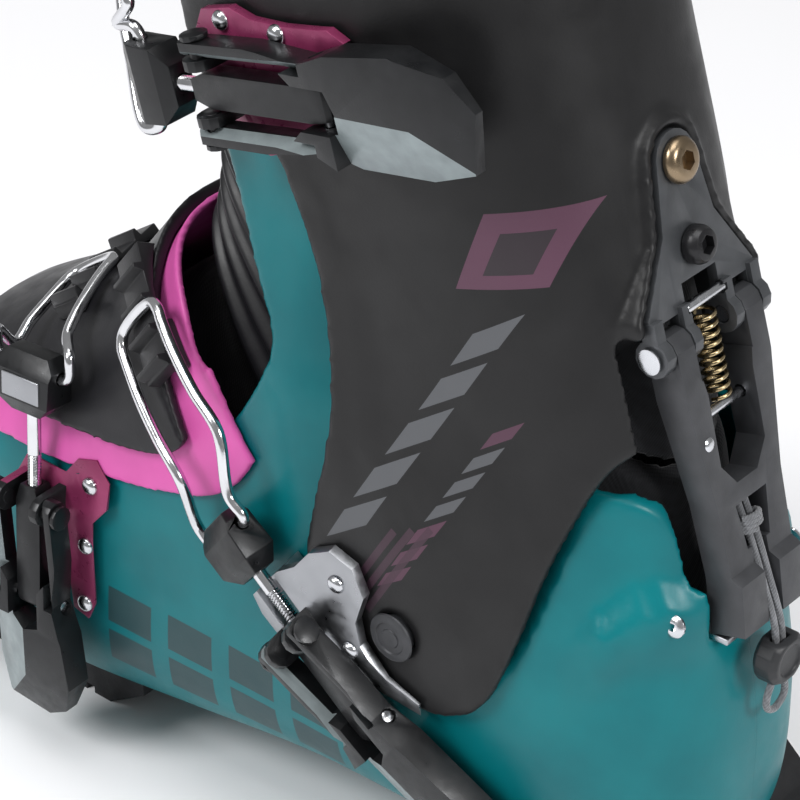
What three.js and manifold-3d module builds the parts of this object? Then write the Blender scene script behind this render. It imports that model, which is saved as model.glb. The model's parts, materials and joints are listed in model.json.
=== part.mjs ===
// Freeride touring ski boot for the left foot, in closed ski mode.
// Millimetres. Toe +X, outer side of the foot +Y, up +Z.
import * as THREE from 'three';
import { mergeVertices } from 'three/addons/utils/BufferGeometryUtils.js';
import Module from 'manifold-3d';

const wasm = await Module();
wasm.setup();

// ---------- driving dimensions ----------
const DEG = Math.PI / 180;
const TOE_END = 257; // front of the toe lug
const HEEL_END = -41; // back of the heel lug
const SOLE_HALF = 34.5; // half the standard 69 mm sole width
const SOLE_CORNER = 14; // corner radius of the soles in plan
const TOE_LUG_TOP = 25.6;
const HEEL_LUG_TOP = 31;
const SHELL_WALL = 3.8;
const CUFF_WALL = 3.2;
const HOOK_RISE = 9.6; // height of each wire's end over the body
const CUFF_PROUD = 4.4; // how far the cuff's outside stands off the shell's outside
const UNDERCUT = 4.2; // extra inset of the shell where the cuff sweeps over it
const FIT = 0.35; // gap between pieces that touch
const FAR = 400; // length that runs well past the boot
const PIVOT = { x: 38, z: 91, r: 5 };
const MIDLINE = 3.5; // how far the heel and shin's mid plane lies towards the outer side
const HINGE = { x: -15.5, z: 177 }; // walk lever's axis
const LEVER_FOOT = { x: -35.5, z: 106.5 }; // lower end of the walk lever

// ---------- colours ----------
const TEAL = 0x1f7f82;
const CHARCOAL = 0x29292c;
const BLACK = 0x151517;
const PINK = 0xd659ab;
const STEEL = 0xb9bdc1;
const GREY = 0x4a4c50;
const WINE = 0x7d3656;
const BRASS = 0xb79a5c;
const FELT = 0x1c1d20;

// ---------- solids ----------
function toSolid(geometry) {
  const bare = geometry.clone();
  bare.deleteAttribute('normal');
  bare.deleteAttribute('uv');
  const merged = mergeVertices(bare, 1e-4);
  const mesh = new wasm.Mesh({
    numProp: 3,
    vertProperties: new Float32Array(merged.attributes.position.array),
    triVerts: new Uint32Array(merged.index.array),
  });
  return new wasm.Manifold(mesh);
}

function toGeometry(solid) {
  const mesh = solid.getMesh();
  const geometry = new THREE.BufferGeometry();
  geometry.setAttribute('position', new THREE.BufferAttribute(mesh.vertProperties, 3));
  geometry.setIndex(new THREE.BufferAttribute(mesh.triVerts, 1));
  geometry.computeVertexNormals();
  return geometry;
}

function fromFaces(points, faces) {
  const geometry = new THREE.BufferGeometry().setFromPoints(points);
  geometry.setIndex(faces);
  return toSolid(geometry);
}

// Closed solid through rings of equal length; the ends are closed by fans.
function loft(rings) {
  const n = rings[0].length;
  const points = rings.flat();
  const faces = [];
  for (let i = 0; i + 1 < rings.length; i += 1) {
    for (let j = 0; j < n; j += 1) {
      const a = i * n + j;
      const b = i * n + ((j + 1) % n);
      faces.push(a, b, a + n, b, b + n, a + n);
    }
  }
  const ends = [[0, 1], [rings.length - 1, -1]];
  for (const [i, side] of ends) {
    const middle = rings[i].reduce((sum, p) => sum.add(p), new THREE.Vector3()).divideScalar(n);
    points.push(middle);
    for (let j = 0; j < n; j += 1) {
      const a = i * n + j;
      const b = i * n + ((j + 1) % n);
      if (side > 0) faces.push(b, a, points.length - 1);
      else faces.push(a, b, points.length - 1);
    }
  }
  return fromFaces(points, faces);
}

// Plate between two grids of points, with walls round its four edges.
function plate(front, back) {
  const rows = front.length;
  const cols = front[0].length;
  const points = [...front.flat(), ...back.flat()];
  const at = (side, i, j) => side * rows * cols + i * cols + j;
  const faces = [];
  for (let i = 0; i + 1 < rows; i += 1) {
    for (let j = 0; j + 1 < cols; j += 1) {
      faces.push(at(0, i, j), at(0, i, j + 1), at(0, i + 1, j));
      faces.push(at(0, i, j + 1), at(0, i + 1, j + 1), at(0, i + 1, j));
      faces.push(at(1, i, j + 1), at(1, i, j), at(1, i + 1, j));
      faces.push(at(1, i + 1, j + 1), at(1, i, j + 1), at(1, i + 1, j));
    }
  }
  const wall = (a, b) => {
    faces.push(at(0, ...b), at(0, ...a), at(1, ...b));
    faces.push(at(0, ...a), at(1, ...a), at(1, ...b));
  };
  for (let j = 0; j + 1 < cols; j += 1) {
    wall([0, j], [0, j + 1]);
    wall([rows - 1, j + 1], [rows - 1, j]);
  }
  for (let i = 0; i + 1 < rows; i += 1) {
    wall([i + 1, 0], [i, 0]);
    wall([i, cols - 1], [i + 1, cols - 1]);
  }
  return fromFaces(points, faces);
}

const flat = (points) => points.map(([a, b]) => new THREE.Vector2(a, b));

function extruded(outline, depth) {
  return new THREE.ExtrudeGeometry(new THREE.Shape(flat(outline)), { depth, bevelEnabled: false });
}

// Turned solid about the y axis; profile points are radius, height.
function turned(profile, sides) {
  return new THREE.LatheGeometry(flat(profile), sides);
}

// Side view outline (x, z) pushed from y = low to y = high.
function sidePrism(outline, low = -FAR, high = FAR) {
  const g = extruded(outline, high - low);
  g.rotateX(90 * DEG);
  g.translate(0, high, 0);
  return toSolid(g);
}

// Plan view outline (x, y) pushed from z = low to z = high.
function planPrism(outline, low, high) {
  const g = extruded(outline, high - low);
  g.translate(0, 0, low);
  return toSolid(g);
}

function block(x0, x1, y0, y1, z0, z1) {
  const g = new THREE.BoxGeometry(x1 - x0, y1 - y0, z1 - z0);
  g.translate((x0 + x1) / 2, (y0 + y1) / 2, (z0 + z1) / 2);
  return toSolid(g);
}

// Round bar along one axis, centred at (x, y, z).
function bar(axis, r, length, x, y, z, sides = 12) {
  const g = new THREE.CylinderGeometry(r, r, length, sides);
  if (axis === 'x') g.rotateZ(90 * DEG);
  if (axis === 'z') g.rotateX(90 * DEG);
  g.translate(x, y, z);
  return toSolid(g);
}

// Wire or cord of round section along a curve.
function rope(points, r, sides, steps) {
  const path = new THREE.CatmullRomCurve3(points, false, 'centripetal');
  const section = new THREE.Shape();
  for (let i = 0; i < sides; i += 1) {
    const a = (i / sides) * 2 * Math.PI;
    if (i === 0) section.moveTo(r, 0);
    else section.lineTo(r * Math.cos(a), r * Math.sin(a));
  }
  return toSolid(new THREE.ExtrudeGeometry(section, { steps, extrudePath: path, bevelEnabled: false }));
}

function joined(...solids) {
  return solids.reduce((a, b) => a.add(b));
}

function cut(solid, ...tools) {
  return tools.reduce((a, b) => a.subtract(b), solid);
}

function keep(solid, ...tools) {
  return tools.reduce((a, b) => a.intersect(b), solid);
}

function steps(from, to, count) {
  return Array.from({ length: count + 1 }, (_, i) => from + ((to - from) * i) / count);
}

// Goes smoothly from 0 at x = a to 1 at x = b, whichever of them is larger.
function smooth(a, b, x) {
  const s = THREE.MathUtils.clamp((x - a) / (b - a), 0, 1);
  return s * s * (3 - 2 * s);
}

// ---------- the boot's body ----------
// Sections fan round the instep: upright across the toes, level across the shin.
// top x, top z, bottom x, bottom z, half width outside, inside, fullness of top, of bottom
const SECTIONS = [
  [249, 49, 249, 36, 9, 9, 2.2, 2.4],
  [247, 63, 247, 28, 24, 23, 2.2, 2.8],
  [242, 76, 242, 23, 35, 33, 2.2, 3.4],
  [232, 87, 232, 19, 43, 40, 2.2, 4.0],
  [217, 97, 214, 14, 48, 45, 2.2, 4.4],
  [197, 108, 188, 11, 50, 47, 2.2, 4.4],
  [176, 120, 159, 11, 50, 46, 2.2, 4.4],
  [158, 132, 120, 13, 48, 44, 2.3, 4.0],
  [145, 146, 74, 16, 46, 42, 2.4, 3.6],
  [135, 159, 20, 16, 44, 43, 2.5, 3.2],
  [130, 173, -28, 28, 43, 44, 2.6, 2.8],
  [129, 189, -37, 66, 42, 45, 2.6, 2.7],
  [132, 206, -33, 108, 41, 45, 2.6, 2.7],
  [137, 225, -25, 150, 40, 44, 2.6, 2.6],
  [144, 249, -8, 205, 41, 45, 2.6, 2.6],
  [151, 272, 7, 252, 43, 47, 2.6, 2.6],
  [157, 296, 20, 300, 45, 49, 2.6, 2.6],
  [163, 320, 34, 348, 46, 50, 2.6, 2.6],
];
const LAST = SECTIONS.length - 1;

function sectionAt(v) {
  const at = THREE.MathUtils.clamp(v, 0, LAST);
  const i = Math.min(Math.floor(at), LAST - 1);
  const f = at - i;
  const rows = [i - 1, i, i + 1, i + 2].map((k) => THREE.MathUtils.clamp(k, 0, LAST));
  const [p0, p1, p2, p3] = rows.map((k) => SECTIONS[k]);
  return p1.map((start, k) => {
    const leave = (p2[k] - p0[k]) / 2;
    const arrive = (p3[k] - start) / 2;
    const hermite = (2 * f ** 3 - 3 * f ** 2 + 1) * start + (f ** 3 - 2 * f ** 2 + f) * leave;
    return hermite + (3 * f ** 2 - 2 * f ** 3) * p2[k] + (f ** 3 - f ** 2) * arrive;
  });
}

// Point of the body: v runs from the toe (0) up past the cuff top, t goes round from the top or front (0)
// past the outer side (90 degrees) to the sole or back (180). off stands it off the surface.
function skin(v, t, off = 0, narrow = 1) {
  const [tx, tz, bx, bz, outer, inner, fullTop, fullBottom] = sectionAt(v);
  const c = Math.cos(t);
  const s = Math.sin(t);
  const full = c > 0 ? fullTop : fullBottom;
  const length = Math.hypot(bx - tx, bz - tz);
  const along = -Math.sign(c) * Math.abs(c) ** (2 / full) * (length / 2 + off);
  const width = (s > 0 ? outer : inner) * narrow + off;
  const nose = Math.max(1 - v / 4, 0) * off;
  return new THREE.Vector3(
    (tx + bx) / 2 + ((bx - tx) / length) * along + nose,
    width * Math.sign(s) * Math.abs(s) ** (2 / full) + MIDLINE * smooth(7.5, 10.5, v),
    (tz + bz) / 2 + ((bz - tz) / length) * along,
  );
}

const value = (x, ...args) => (typeof x === 'function' ? x(...args) : x);

// Closed solid of the body from section v0 to v1, with nv lengths and nt sides.
function bodyTube(v0, v1, off, nv, nt, narrow = 1) {
  const angles = steps(0, 2 * Math.PI, nt).slice(0, nt);
  const ring = (v) => angles.map((t) => skin(v, t, value(off, v, t), value(narrow, v, t)));
  return loft(steps(v0, v1, nv).map(ring));
}

// Plate over the front of the body, half degrees to each side.
function bodyPatch(v0, v1, half, outer, inner, nv, nt, narrow = 1) {
  const grid = (off) => steps(v0, v1, nv).map((v) => steps(-1, 1, nt).map((u) => {
    const t = u * half * DEG;
    return skin(v, t, value(off, v, t), narrow);
  }));
  return plate(grid(outer), grid(inner));
}

// ---------- lower shell ----------
const SHELL_SIDE = [
  [270, -5], [270, 90], [225, 101], [209, 97], [190, 99], [152, 103], [114, 110], [99, 121], [88, 138],
  [82, 152], [90, 167], [99, 185], [108, 199], [105, 213], [92, 216], [77, 204], [66, 182], [57, 158],
  [40, 142], [14, 138], [-8, 142], [-18, 139], [-23, 129], [-26, 117], [-60, 117], [-60, -5],
];
const SHELF = { top: 103, bottom: 93, front: -27, half: 24 }; // ledge that the walk lever stands on
const NOTCH_SIDE = [[-70, 117], [-8, 117], [6, 180], [-70, 180]]; // opening behind the walk lever
const NOTCH_HALF = 19;
const FOOT_ROOM = { top: 118, half: 13.6 }; // narrower part between the cheeks beside the lever's foot
const pivotHole = () => bar('y', PIVOT.r + FIT, FAR, PIVOT.x, 0, PIVOT.z);

const cover = (v) => smooth(10.6, 12.6, v);
const shellOff = (v) => -CUFF_PROUD * cover(v);
const cuffOff = (v) => CUFF_PROUD * (1 - cover(v));

// Offset of the lower shell's outside; it steps in where the cuff sweeps over it.
function underCuff(v, t) {
  const p = skin(v, t);
  const edge = THREE.MathUtils.lerp(82, 132, smooth(12, -14, p.x));
  const front = smooth(78, 60, p.x);
  return shellOff(v) - UNDERCUT * smooth(4, 16, p.z - edge) * front;
}

function shellEnvelope(grow) {
  return bodyTube(0, 14.4, (v, t) => underCuff(v, t) + grow, 21, 26);
}

function shellInside(grow) {
  return bodyTube(0.5, 15.4, (v, t) => underCuff(v, t) - SHELL_WALL + grow, 15, 20);
}

function makeShell() {
  const outer = shellEnvelope(0);
  const inner = shellInside(0);
  const { front, half, bottom, top } = SHELF;
  const shelf = keep(block(-60, front, -half, half + MIDLINE, bottom, top), outer);
  const solid = keep(cut(outer, inner), sidePrism(SHELL_SIDE)).add(shelf);
  const notch = sidePrism(NOTCH_SIDE, MIDLINE - NOTCH_HALF, MIDLINE + NOTCH_HALF);
  const footRoom = block(-70, -8, MIDLINE - FOOT_ROOM.half, MIDLINE + FOOT_ROOM.half, top, FOOT_ROOM.top);
  return cut(solid, notch, footRoom, pivotHole());
}

// ---------- cuff ----------
const CUFF_SIDE = [
  [12, 80], [22, 72], [42, 70], [59, 79], [68, 98], [64, 117], [59, 139], [61, 161], [69, 187], [78, 204],
  [86, 208], [110, 212], [114, 250], [100, 268], [30, 292], [-8, 306], [-60, 306], [-60, 151], [-24, 152],
  [-12, 155], [-1, 125], [5, 99],
];

const cuffEnvelope = (grow) => bodyTube(8.4, 16.4, (v) => cuffOff(v) + grow, 15, 26);

function makeCuff() {
  const outer = cuffEnvelope(0);
  const inner = bodyTube(8, 16.9, (v) => cuffOff(v) - CUFF_WALL, 12, 22);
  const seat = leverFrame.place(plateSeat());
  const pocket = leverFrame.place(platePocket());
  const solid = keep(cut(outer.add(seat), inner), sidePrism(CUFF_SIDE));
  const screwHoles = SCREWS.map((x) => leverFrame.place(bar('z', SCREW_HOLE, 30, x, 0, 0)));
  return cut(solid, pocket, ...screwHoles, pivotHole());
}

// ---------- frames ----------
// A local frame: x along the pull, z out of the boot, y across.
class Frame {
  constructor(origin, pull, out) {
    this.origin = origin.clone();
    this.x = pull.clone().normalize();
    this.y = new THREE.Vector3().crossVectors(out, this.x).normalize();
    this.z = new THREE.Vector3().crossVectors(this.x, this.y);
    this.matrix = new THREE.Matrix4().makeBasis(this.x, this.y, this.z).setPosition(this.origin);
  }

  point(x, y, z) {
    return new THREE.Vector3(x, y, z).applyMatrix4(this.matrix);
  }

  place(solid) {
    return solid.transform(this.matrix.elements);
  }

  bring(solid) {
    return solid.transform(this.matrix.clone().invert().elements);
  }
}

// Body coordinates (v, t) of the outer side's point over side-view position (x, z).
function skinSearch(x, z, side = 1) {
  let best = { v: 8, t: 90 * DEG, miss: Infinity };
  let span = { v: 8, t: 75 * DEG };
  for (let round = 0; round < 9; round += 1) {
    const centre = best;
    for (const v of steps(centre.v - span.v, centre.v + span.v, 8)) {
      for (const t of steps(centre.t - span.t, centre.t + span.t, 8)) {
        const p = skin(v, side * t);
        const miss = Math.hypot(p.x - x, p.z - z);
        if (miss < best.miss) best = { v, t, miss };
      }
    }
    span = { v: span.v / 2.5, t: span.t / 2.5 };
  }
  return best;
}

function skinAt(x, z, off, side = 1) {
  const at = skinSearch(x, z, side);
  return skin(at.v, side * at.t, off);
}

function outwardAt(x, z, side = 1) {
  const d = 4;
  const along = skinAt(x + d, z, 0, side).sub(skinAt(x - d, z, 0, side));
  const up = skinAt(x, z + d, 0, side).sub(skinAt(x, z - d, 0, side));
  return new THREE.Vector3().crossVectors(up, along).multiplyScalar(side).normalize();
}

// ---------- walk mechanism ----------
const hingePoint = new THREE.Vector3(HINGE.x, MIDLINE, HINGE.z);
const leverRun = new THREE.Vector3(HINGE.x - LEVER_FOOT.x, 0, HINGE.z - LEVER_FOOT.z);
const LEVER_LENGTH = leverRun.length();
const leverFrame = new Frame(hingePoint, leverRun, new THREE.Vector3(-1, 0, 0));
const PLATE = { top: 40, topR: 7, half: 19.6, foot: -2, back: -1.6, face: 1.2 };
const SCREWS = [PLATE.top, 20];
const SCREW_HOLE = 3;
const AXLE = { r: 1.3, x: 7, z: 1.2 }; // spring's upper axle
const CROSSBAR = { r: 1.3, x: -20, z: -0.6 }; // spring's lower bar, in the lever's window
const CROSSBAR_LENGTH = 19;
const KNUCKLE = { r: 4.6, inner: [6.4, 9.4], outer: [16.6, 19.8], arm: [9.8, 16.2], pin: 1.9 };

function plateOutline(grow) {
  const top = steps(20, 160, 7).map((a) => [
    PLATE.top + (PLATE.topR + grow) * Math.sin(a * DEG),
    -(PLATE.topR + grow) * Math.cos(a * DEG),
  ]);
  return [
    [PLATE.foot - grow, PLATE.half + grow], [PLATE.foot - grow, -PLATE.half - grow],
    [9, -PLATE.half - grow], [25, -9.5 - grow], ...top, [25, 9.5 + grow], [9, PLATE.half + grow],
  ];
}

function plateSeat() {
  return planPrism(plateOutline(3.4), -14, PLATE.face - 0.2);
}

function platePocket() {
  const under = block(-30, 5.4, -23, 23, -30, 30);
  return planPrism(plateOutline(0.8), PLATE.back - FIT, 30).add(under);
}

function makePlate() {
  const base = planPrism(plateOutline(0), PLATE.back, PLATE.face);
  const lug = (low, high) => joined(
    bar('y', KNUCKLE.r, high - low, 0, (low + high) / 2, 0),
    block(0, 8.6, low, high, PLATE.back, PLATE.face + 1.4),
  );
  const lugs = [KNUCKLE.inner, KNUCKLE.outer].flatMap(([low, high]) => [lug(low, high), lug(-high, -low)]);
  const [armLow, armHigh] = KNUCKLE.arm;
  const armRoom = block(-20, 7, armLow - FIT, armHigh + FIT, -30, 30);
  const otherRoom = block(-20, 7, -armHigh - FIT, -armLow + FIT, -30, 30);
  const window = block(-20, 13, -KNUCKLE.inner[0], KNUCKLE.inner[0], -30, 30);
  const screwHoles = SCREWS.map((x) => bar('z', SCREW_HOLE, 20, x, 0, 0));
  const pinBore = bar('y', KNUCKLE.pin + FIT, FAR, 0, 0, 0);
  const axleBore = bar('y', AXLE.r + FIT, 14.8, AXLE.x, 0, AXLE.z);
  return cut(joined(base, ...lugs), armRoom, otherRoom, window, ...screwHoles, pinBore, axleBore);
}

// Screw through the plate at x, with a round head and a hexagonal socket.
function makeScrew(x, r, height) {
  const shank = SCREW_HOLE - 0.4;
  const under = PLATE.face + FIT;
  const top = PLATE.face + height;
  const profile = [
    [0, -9], [shank, -9], [shank, under], [r, under], [r, PLATE.face + height * 0.6],
    [r * 0.72, top], [0, top],
  ];
  const g = turned(profile, 16);
  g.rotateX(90 * DEG);
  g.translate(x, 0, 0);
  return toSolid(g).subtract(bar('z', 1.9, 3, x, 0, top, 6));
}

function makeLever() {
  const low = -LEVER_LENGTH;
  const [inner, outer] = KNUCKLE.arm;
  const nose = KNUCKLE.r - 0.2;
  const body = [
    [nose, inner], [nose, outer], [-12, outer], [-40, 12.5], [-60, 12], [low, 12.5], [low, -12.5],
    [-60, -12], [-40, -12.5], [-12, -outer], [nose, -outer], [nose, -inner], [-9, -inner], [-9, inner],
  ];
  const edge = [
    [5, -4.4], [5, 4.4], [-10, 4.6], [-58, 3.6], [-60, 6.2], [low, 4.6], [low, -5.4], [-58, -4],
  ];
  const profile = sidePrism(edge);
  const solid = keep(planPrism(body, -20, 20), profile);
  const upper = planPrism([
    [-13, -8.6], [-7, -9.8], [-7, 9.8], [-13, 8.6], [-31, 8.6], [-37, 4], [-37, -4], [-31, -8.6],
  ], -9, 9);
  const lower = planPrism([[-42, -6], [-42, 6], [-54, 4.4], [-54, -4.4]], -9, 9);
  const split = block(low - 1, -60, -CORD.groove, CORD.groove, -9, 9);
  const groove = block(-61, -53, -CORD.groove, CORD.groove, 1.2, 9);
  const rounds = keep(
    joined(block(-3, 4.6, -20, 20, -20, 20), block(-90, -3, -20, 20, -20, 20)),
    joined(bar('y', nose, 40, 0, 0, 0), block(-90, 0, -20, 20, -20, 20)),
  );
  const pinBore = bar('y', KNUCKLE.pin + FIT, FAR, 0, 0, 0);
  const barBore = bar('y', CROSSBAR.r + FIT, CROSSBAR_LENGTH + 0.8, CROSSBAR.x, 0, CROSSBAR.z);
  return cut(keep(solid, rounds), upper, lower, split, groove, pinBore, barBore);
}

function makeHingePin(side) {
  const [low, high] = [KNUCKLE.inner[0] + 0.4, KNUCKLE.outer[1]];
  const shank = bar('y', KNUCKLE.pin, high - low + 0.5, 0, (side * (low + high + 0.5)) / 2, 0);
  return shank.add(bar('y', 3.1, 1, 0, side * (high + 0.9), 0));
}

function makeCrossbar() {
  return bar('y', CROSSBAR.r, CROSSBAR_LENGTH, CROSSBAR.x, 0, CROSSBAR.z, 10);
}

function makeSpringAxle() {
  return bar('y', AXLE.r, 14, AXLE.x, 0, AXLE.z, 10);
}

// The coil spring's envelope, a sleeve with a ridge for each coil.
function makeSpring() {
  const profile = [[1.4, -17.8], [3.2, -17.8]];
  for (const x of steps(-17, 5, 11)) profile.push([x % 4 === 3 ? 2.6 : 3.2, x]);
  profile.push([1.4, 5], [1.4, -17.8]);
  const g = turned(profile, 12);
  g.rotateZ(-90 * DEG);
  g.translate(0, 0, 0.3);
  const lowerRoom = bar('y', CROSSBAR.r + FIT, 20, CROSSBAR.x, 0, CROSSBAR.z);
  const upperRoom = bar('y', AXLE.r + FIT, 20, AXLE.x, 0, AXLE.z);
  return cut(toSolid(g), lowerRoom, upperRoom);
}

// Steel strip on the shell's shelf, under the walk lever's foot.
function makeLockPlate() {
  return block(-35, SHELF.front - 0.5, MIDLINE - 12.6, MIDLINE + 12.6, SHELF.top + FIT, SHELF.top + 2);
}

// ---------- pull cord ----------
const CORD = { r: 0.9, groove: 2.9 }; // radius, and half the width of the lever's groove for both strands
const TOGGLE = { x: -41.2, z: 96.6, r: 7, half: 3.5, cut: 5.4 };

// The cord's two strands run side by side; each point is x, half their spacing, z.
const STRAND = [
  [-27.5, 1.25, 136.2], [-28.8, 1.25, 133.5], [-30.5, 1.25, 130.3], [-32.3, 1.25, 126.7],
  [-34.2, 1.25, 122], [-36.4, 1.25, 116.4], [-38.6, 1.25, 110.8], [-40.2, 1.25, 106.2],
  [-41, 1.25, 101.5], [-41.2, 1.25, 96.6], [-41.2, 1.4, 92], [-41.2, 2.5, 89], [-41.2, 3.7, 86],
  [-41.2, 3.3, 82.8],
];
const LOOP_FOOT = [-41.2, 0, 81];

function makeCord() {
  const strand = (side) => STRAND.map(([x, y, z]) => new THREE.Vector3(x, MIDLINE + side * y, z));
  const foot = new THREE.Vector3(LOOP_FOOT[0], MIDLINE + LOOP_FOOT[1], LOOP_FOOT[2]);
  return rope([...strand(1), foot, ...strand(-1).reverse()], CORD.r, 8, 36);
}

// The knot's turns, a flat ring round both strands, in the lever's frame.
function makeKnot() {
  const profile = [[1.6, -0.9], [2.3, -1.2], [2.8, 0], [2.3, 1.2], [1.6, 0.9], [1.6, -0.9]];
  const g = turned(profile, 12);
  g.rotateZ(90 * DEG);
  g.scale(1, 1.6, 1);
  g.translate(-49, 0, 1.7);
  return toSolid(g);
}

// Grip that both strands run through: a thick disc facing back, with flat top and bottom.
function makeToggle() {
  const { x, z, r, half, cut: flat } = TOGGLE;
  const disc = joined(
    bar('x', r, 2 * half - 2, x, MIDLINE, z, 14),
    bar('x', r - 1, 2 * half, x, MIDLINE, z, 14),
  );
  const slot = block(x - 1.3, x + 1.3, MIDLINE - 2.7, MIDLINE + 2.7, z - FAR, z + FAR);
  return cut(keep(disc, block(-FAR, FAR, -FAR, FAR, z - flat, z + flat)), slot);
}

// ---------- sole ----------
const TOE_SOLE = [
  [TOE_END, TOE_LUG_TOP], [TOE_END, 11], [248, 4], [228, 0], [160, 0], [146, 9], [146, 30], [220, 30],
  [240, TOE_LUG_TOP],
];
const HEEL_SOLE = [
  [HEEL_END, HEEL_LUG_TOP], [HEEL_END, 6], [-36, 0], [16, 0], [26, 10], [34, 30], [-20, 40],
  [-30, HEEL_LUG_TOP],
];

// Block of a side outline whose front or back corners are rounded in plan, hollowed to fit the shell.
function soleBlock(side, front, back, roundFront) {
  const r = SOLE_CORNER;
  const half = SOLE_HALF;
  const corner = (cx, cy, from) => steps(from, from + 90, 4).map((a) => [
    cx + r * Math.cos(a * DEG),
    cy + r * Math.sin(a * DEG),
  ]);
  const atToe = () => [...corner(front - r, r - half, -90), ...corner(front - r, half - r, 0)];
  const atHeel = () => [...corner(back + r, half - r, 90), ...corner(back + r, r - half, 180)];
  const plan = roundFront
    ? [[back, half], [back, -half], ...atToe()]
    : [[front, half], ...atHeel(), [front, -half]];
  return cut(keep(sidePrism(side), planPrism(plan, -10, 60)), shellEnvelope(FIT));
}

function makeToeSole() {
  const sole = soleBlock(TOE_SOLE, TOE_END, 140, true);
  const grooves = steps(168, 228, 4).map((x) => block(x - 1.5, x + 1.5, -FAR, FAR, -1, 2.2));
  const socket = block(232.6, 241.4, -FAR, FAR, 8.6, 16.4);
  return cut(sole, ...grooves, socket);
}

function makeHeelSole() {
  const sole = soleBlock(HEEL_SOLE, 40, HEEL_END, false);
  const grooves = steps(-18, 6, 2).map((x) => block(x - 1.5, x + 1.5, -FAR, FAR, -1, 2.2));
  return cut(sole, ...grooves, block(HEEL_END - 1, HEEL_END + 3.4, -9.4, 9.4, 7, 27.6));
}

// Steel bar across the toe with a dished socket at each end, for pin bindings.
function makeToeInsert() {
  const beam = block(233, 241, -SOLE_HALF, SOLE_HALF, 9, 16);
  const dish = (side) => {
    const g = new THREE.ConeGeometry(3, 3, 12);
    if (side > 0) g.rotateX(180 * DEG);
    g.translate(237, side * (SOLE_HALF - 1.4), 12.5);
    return toSolid(g);
  };
  return cut(beam, dish(1), dish(-1));
}

function makeHeelInsert() {
  const face = block(HEEL_END, HEEL_END + 3, -9, 9, 7.4, 27.2);
  const slot = (y) => block(HEEL_END - 1, HEEL_END + 2, y - 1.6, y + 1.6, 7, 19);
  return cut(face, slot(-5.2), slot(5.2));
}

// ---------- tongue ----------
const TONGUE = 3.2; // plastic thickness
const LIP_SIDE = [
  [227, 60], [227, 120], [160, 172], [137, 160], [120, 150], [108, 134], [98, 141], [88, 149],
  [81, 141], [84, 122], [97, 103], [122, 95], [150, 91], [190, 88], [213, 86], [221, 60],
];
const FOOT_SIDE = [
  [219, 90], [219, 130], [160, 175], [134, 163], [118, 150], [106, 131], [109, 113], [122, 107], [150, 103],
  [190, 99], [210, 98],
];

const lipEnvelope = (grow) => bodyTube(2.4, 9.5, 2.3 + grow, 12, 24);

function makeLip() {
  const band = keep(cut(lipEnvelope(0), shellEnvelope(FIT)), sidePrism(LIP_SIDE));
  return keep(band, block(0, FAR, -FAR, FAR, 84, FAR));
}

const footTop = (v, t) => 2.4 + TONGUE + 0.8 * Math.max(Math.cos(t), 0) ** 6;
const footEnvelope = (grow) => bodyTube(3, 9, (v, t) => footTop(v, t) + grow, 11, 28);

function makeTongueFoot() {
  const reach = bodyTube(3.2, 8.7, 20, 8, 16);
  return keep(cut(footEnvelope(0), lipEnvelope(FIT)), sidePrism(FOOT_SIDE), reach);
}

// The tongue's shin: sections it spans, wrap angle, share of the body's width, height over the body.
const SHIN = { from: 11.28, to: 16.6, half: 70, narrow: 0.61, face: 0.3 };
const ribs = (v) => 1.1 * Math.cos((v * 2 * Math.PI) / 0.46);
const flexTop = (v) => SHIN.face - 1.8 + ribs(v);

function shinPatch(v0, v1, outer, inner, nv) {
  return bodyPatch(v0, v1, SHIN.half, outer, inner, nv, 8, SHIN.narrow);
}

function makeTongueFlex() {
  return shinPatch(8.95, 11.2, flexTop, (v) => flexTop(v) - TONGUE, 14);
}

function makeTongueShin() {
  return shinPatch(SHIN.from, SHIN.to, SHIN.face, SHIN.face - TONGUE, 6);
}

// ---------- liner ----------
const LINER = 7; // foam thickness
const UNDER_TONGUE = 7.6; // depth of the liner's front below the body

// 1 where the liner lies under the tongue, 0 along its sides, sole and back.
function frontOf(v, t) {
  const fromFront = Math.min(t, 2 * Math.PI - t) / DEG;
  return smooth(104, 80, fromFront) * smooth(7.2, 8.2, v);
}

function linerOff(v, t) {
  const overBoard = 9.5 * smooth(0, 0.3, -Math.cos(t)) * smooth(10.6, 9.2, v);
  const walls = SHELL_WALL + 1.6 + (CUFF_PROUD + UNDERCUT) * smooth(9.4, 10.8, v);
  return -THREE.MathUtils.lerp(walls, UNDER_TONGUE, frontOf(v, t)) - overBoard;
}

const linerNarrow = (v, t) => THREE.MathUtils.lerp(1, SHIN.narrow, frontOf(v, t));

// One length of the liner's tube; closedEnd keeps the toe end thick.
function linerTube(v0, v1, nv, closedEnd = false) {
  const outer = bodyTube(v0, v1, linerOff, nv, 18, linerNarrow);
  const start = closedEnd ? v0 + 1 : v0 - 0.5;
  const inner = bodyTube(start, v1 + 0.5, (v, t) => linerOff(v, t) - LINER, nv, 18, linerNarrow);
  return cut(outer, inner);
}

// ---------- inside and fasteners of the shell ----------
function makeBootBoard() {
  return keep(shellInside(-0.4), sidePrism([[-30, 23], [240, 19], [240, 23], [-30, 28]], -30, 30));
}

// Round screw head standing on the shell at side-view position (x, z).
function surfaceStud(x, z, side, r, rise) {
  const along = new THREE.Vector3(1, 0, 0);
  const frame = new Frame(skinAt(x, z, 0, side), along, outwardAt(x, z, side));
  const profile = [[0, FIT], [r, FIT], [r, rise * 0.5], [r * 0.6, rise], [0, rise]];
  return frame.place(toSolid(turned(profile, 12).rotateX(90 * DEG)));
}

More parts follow.
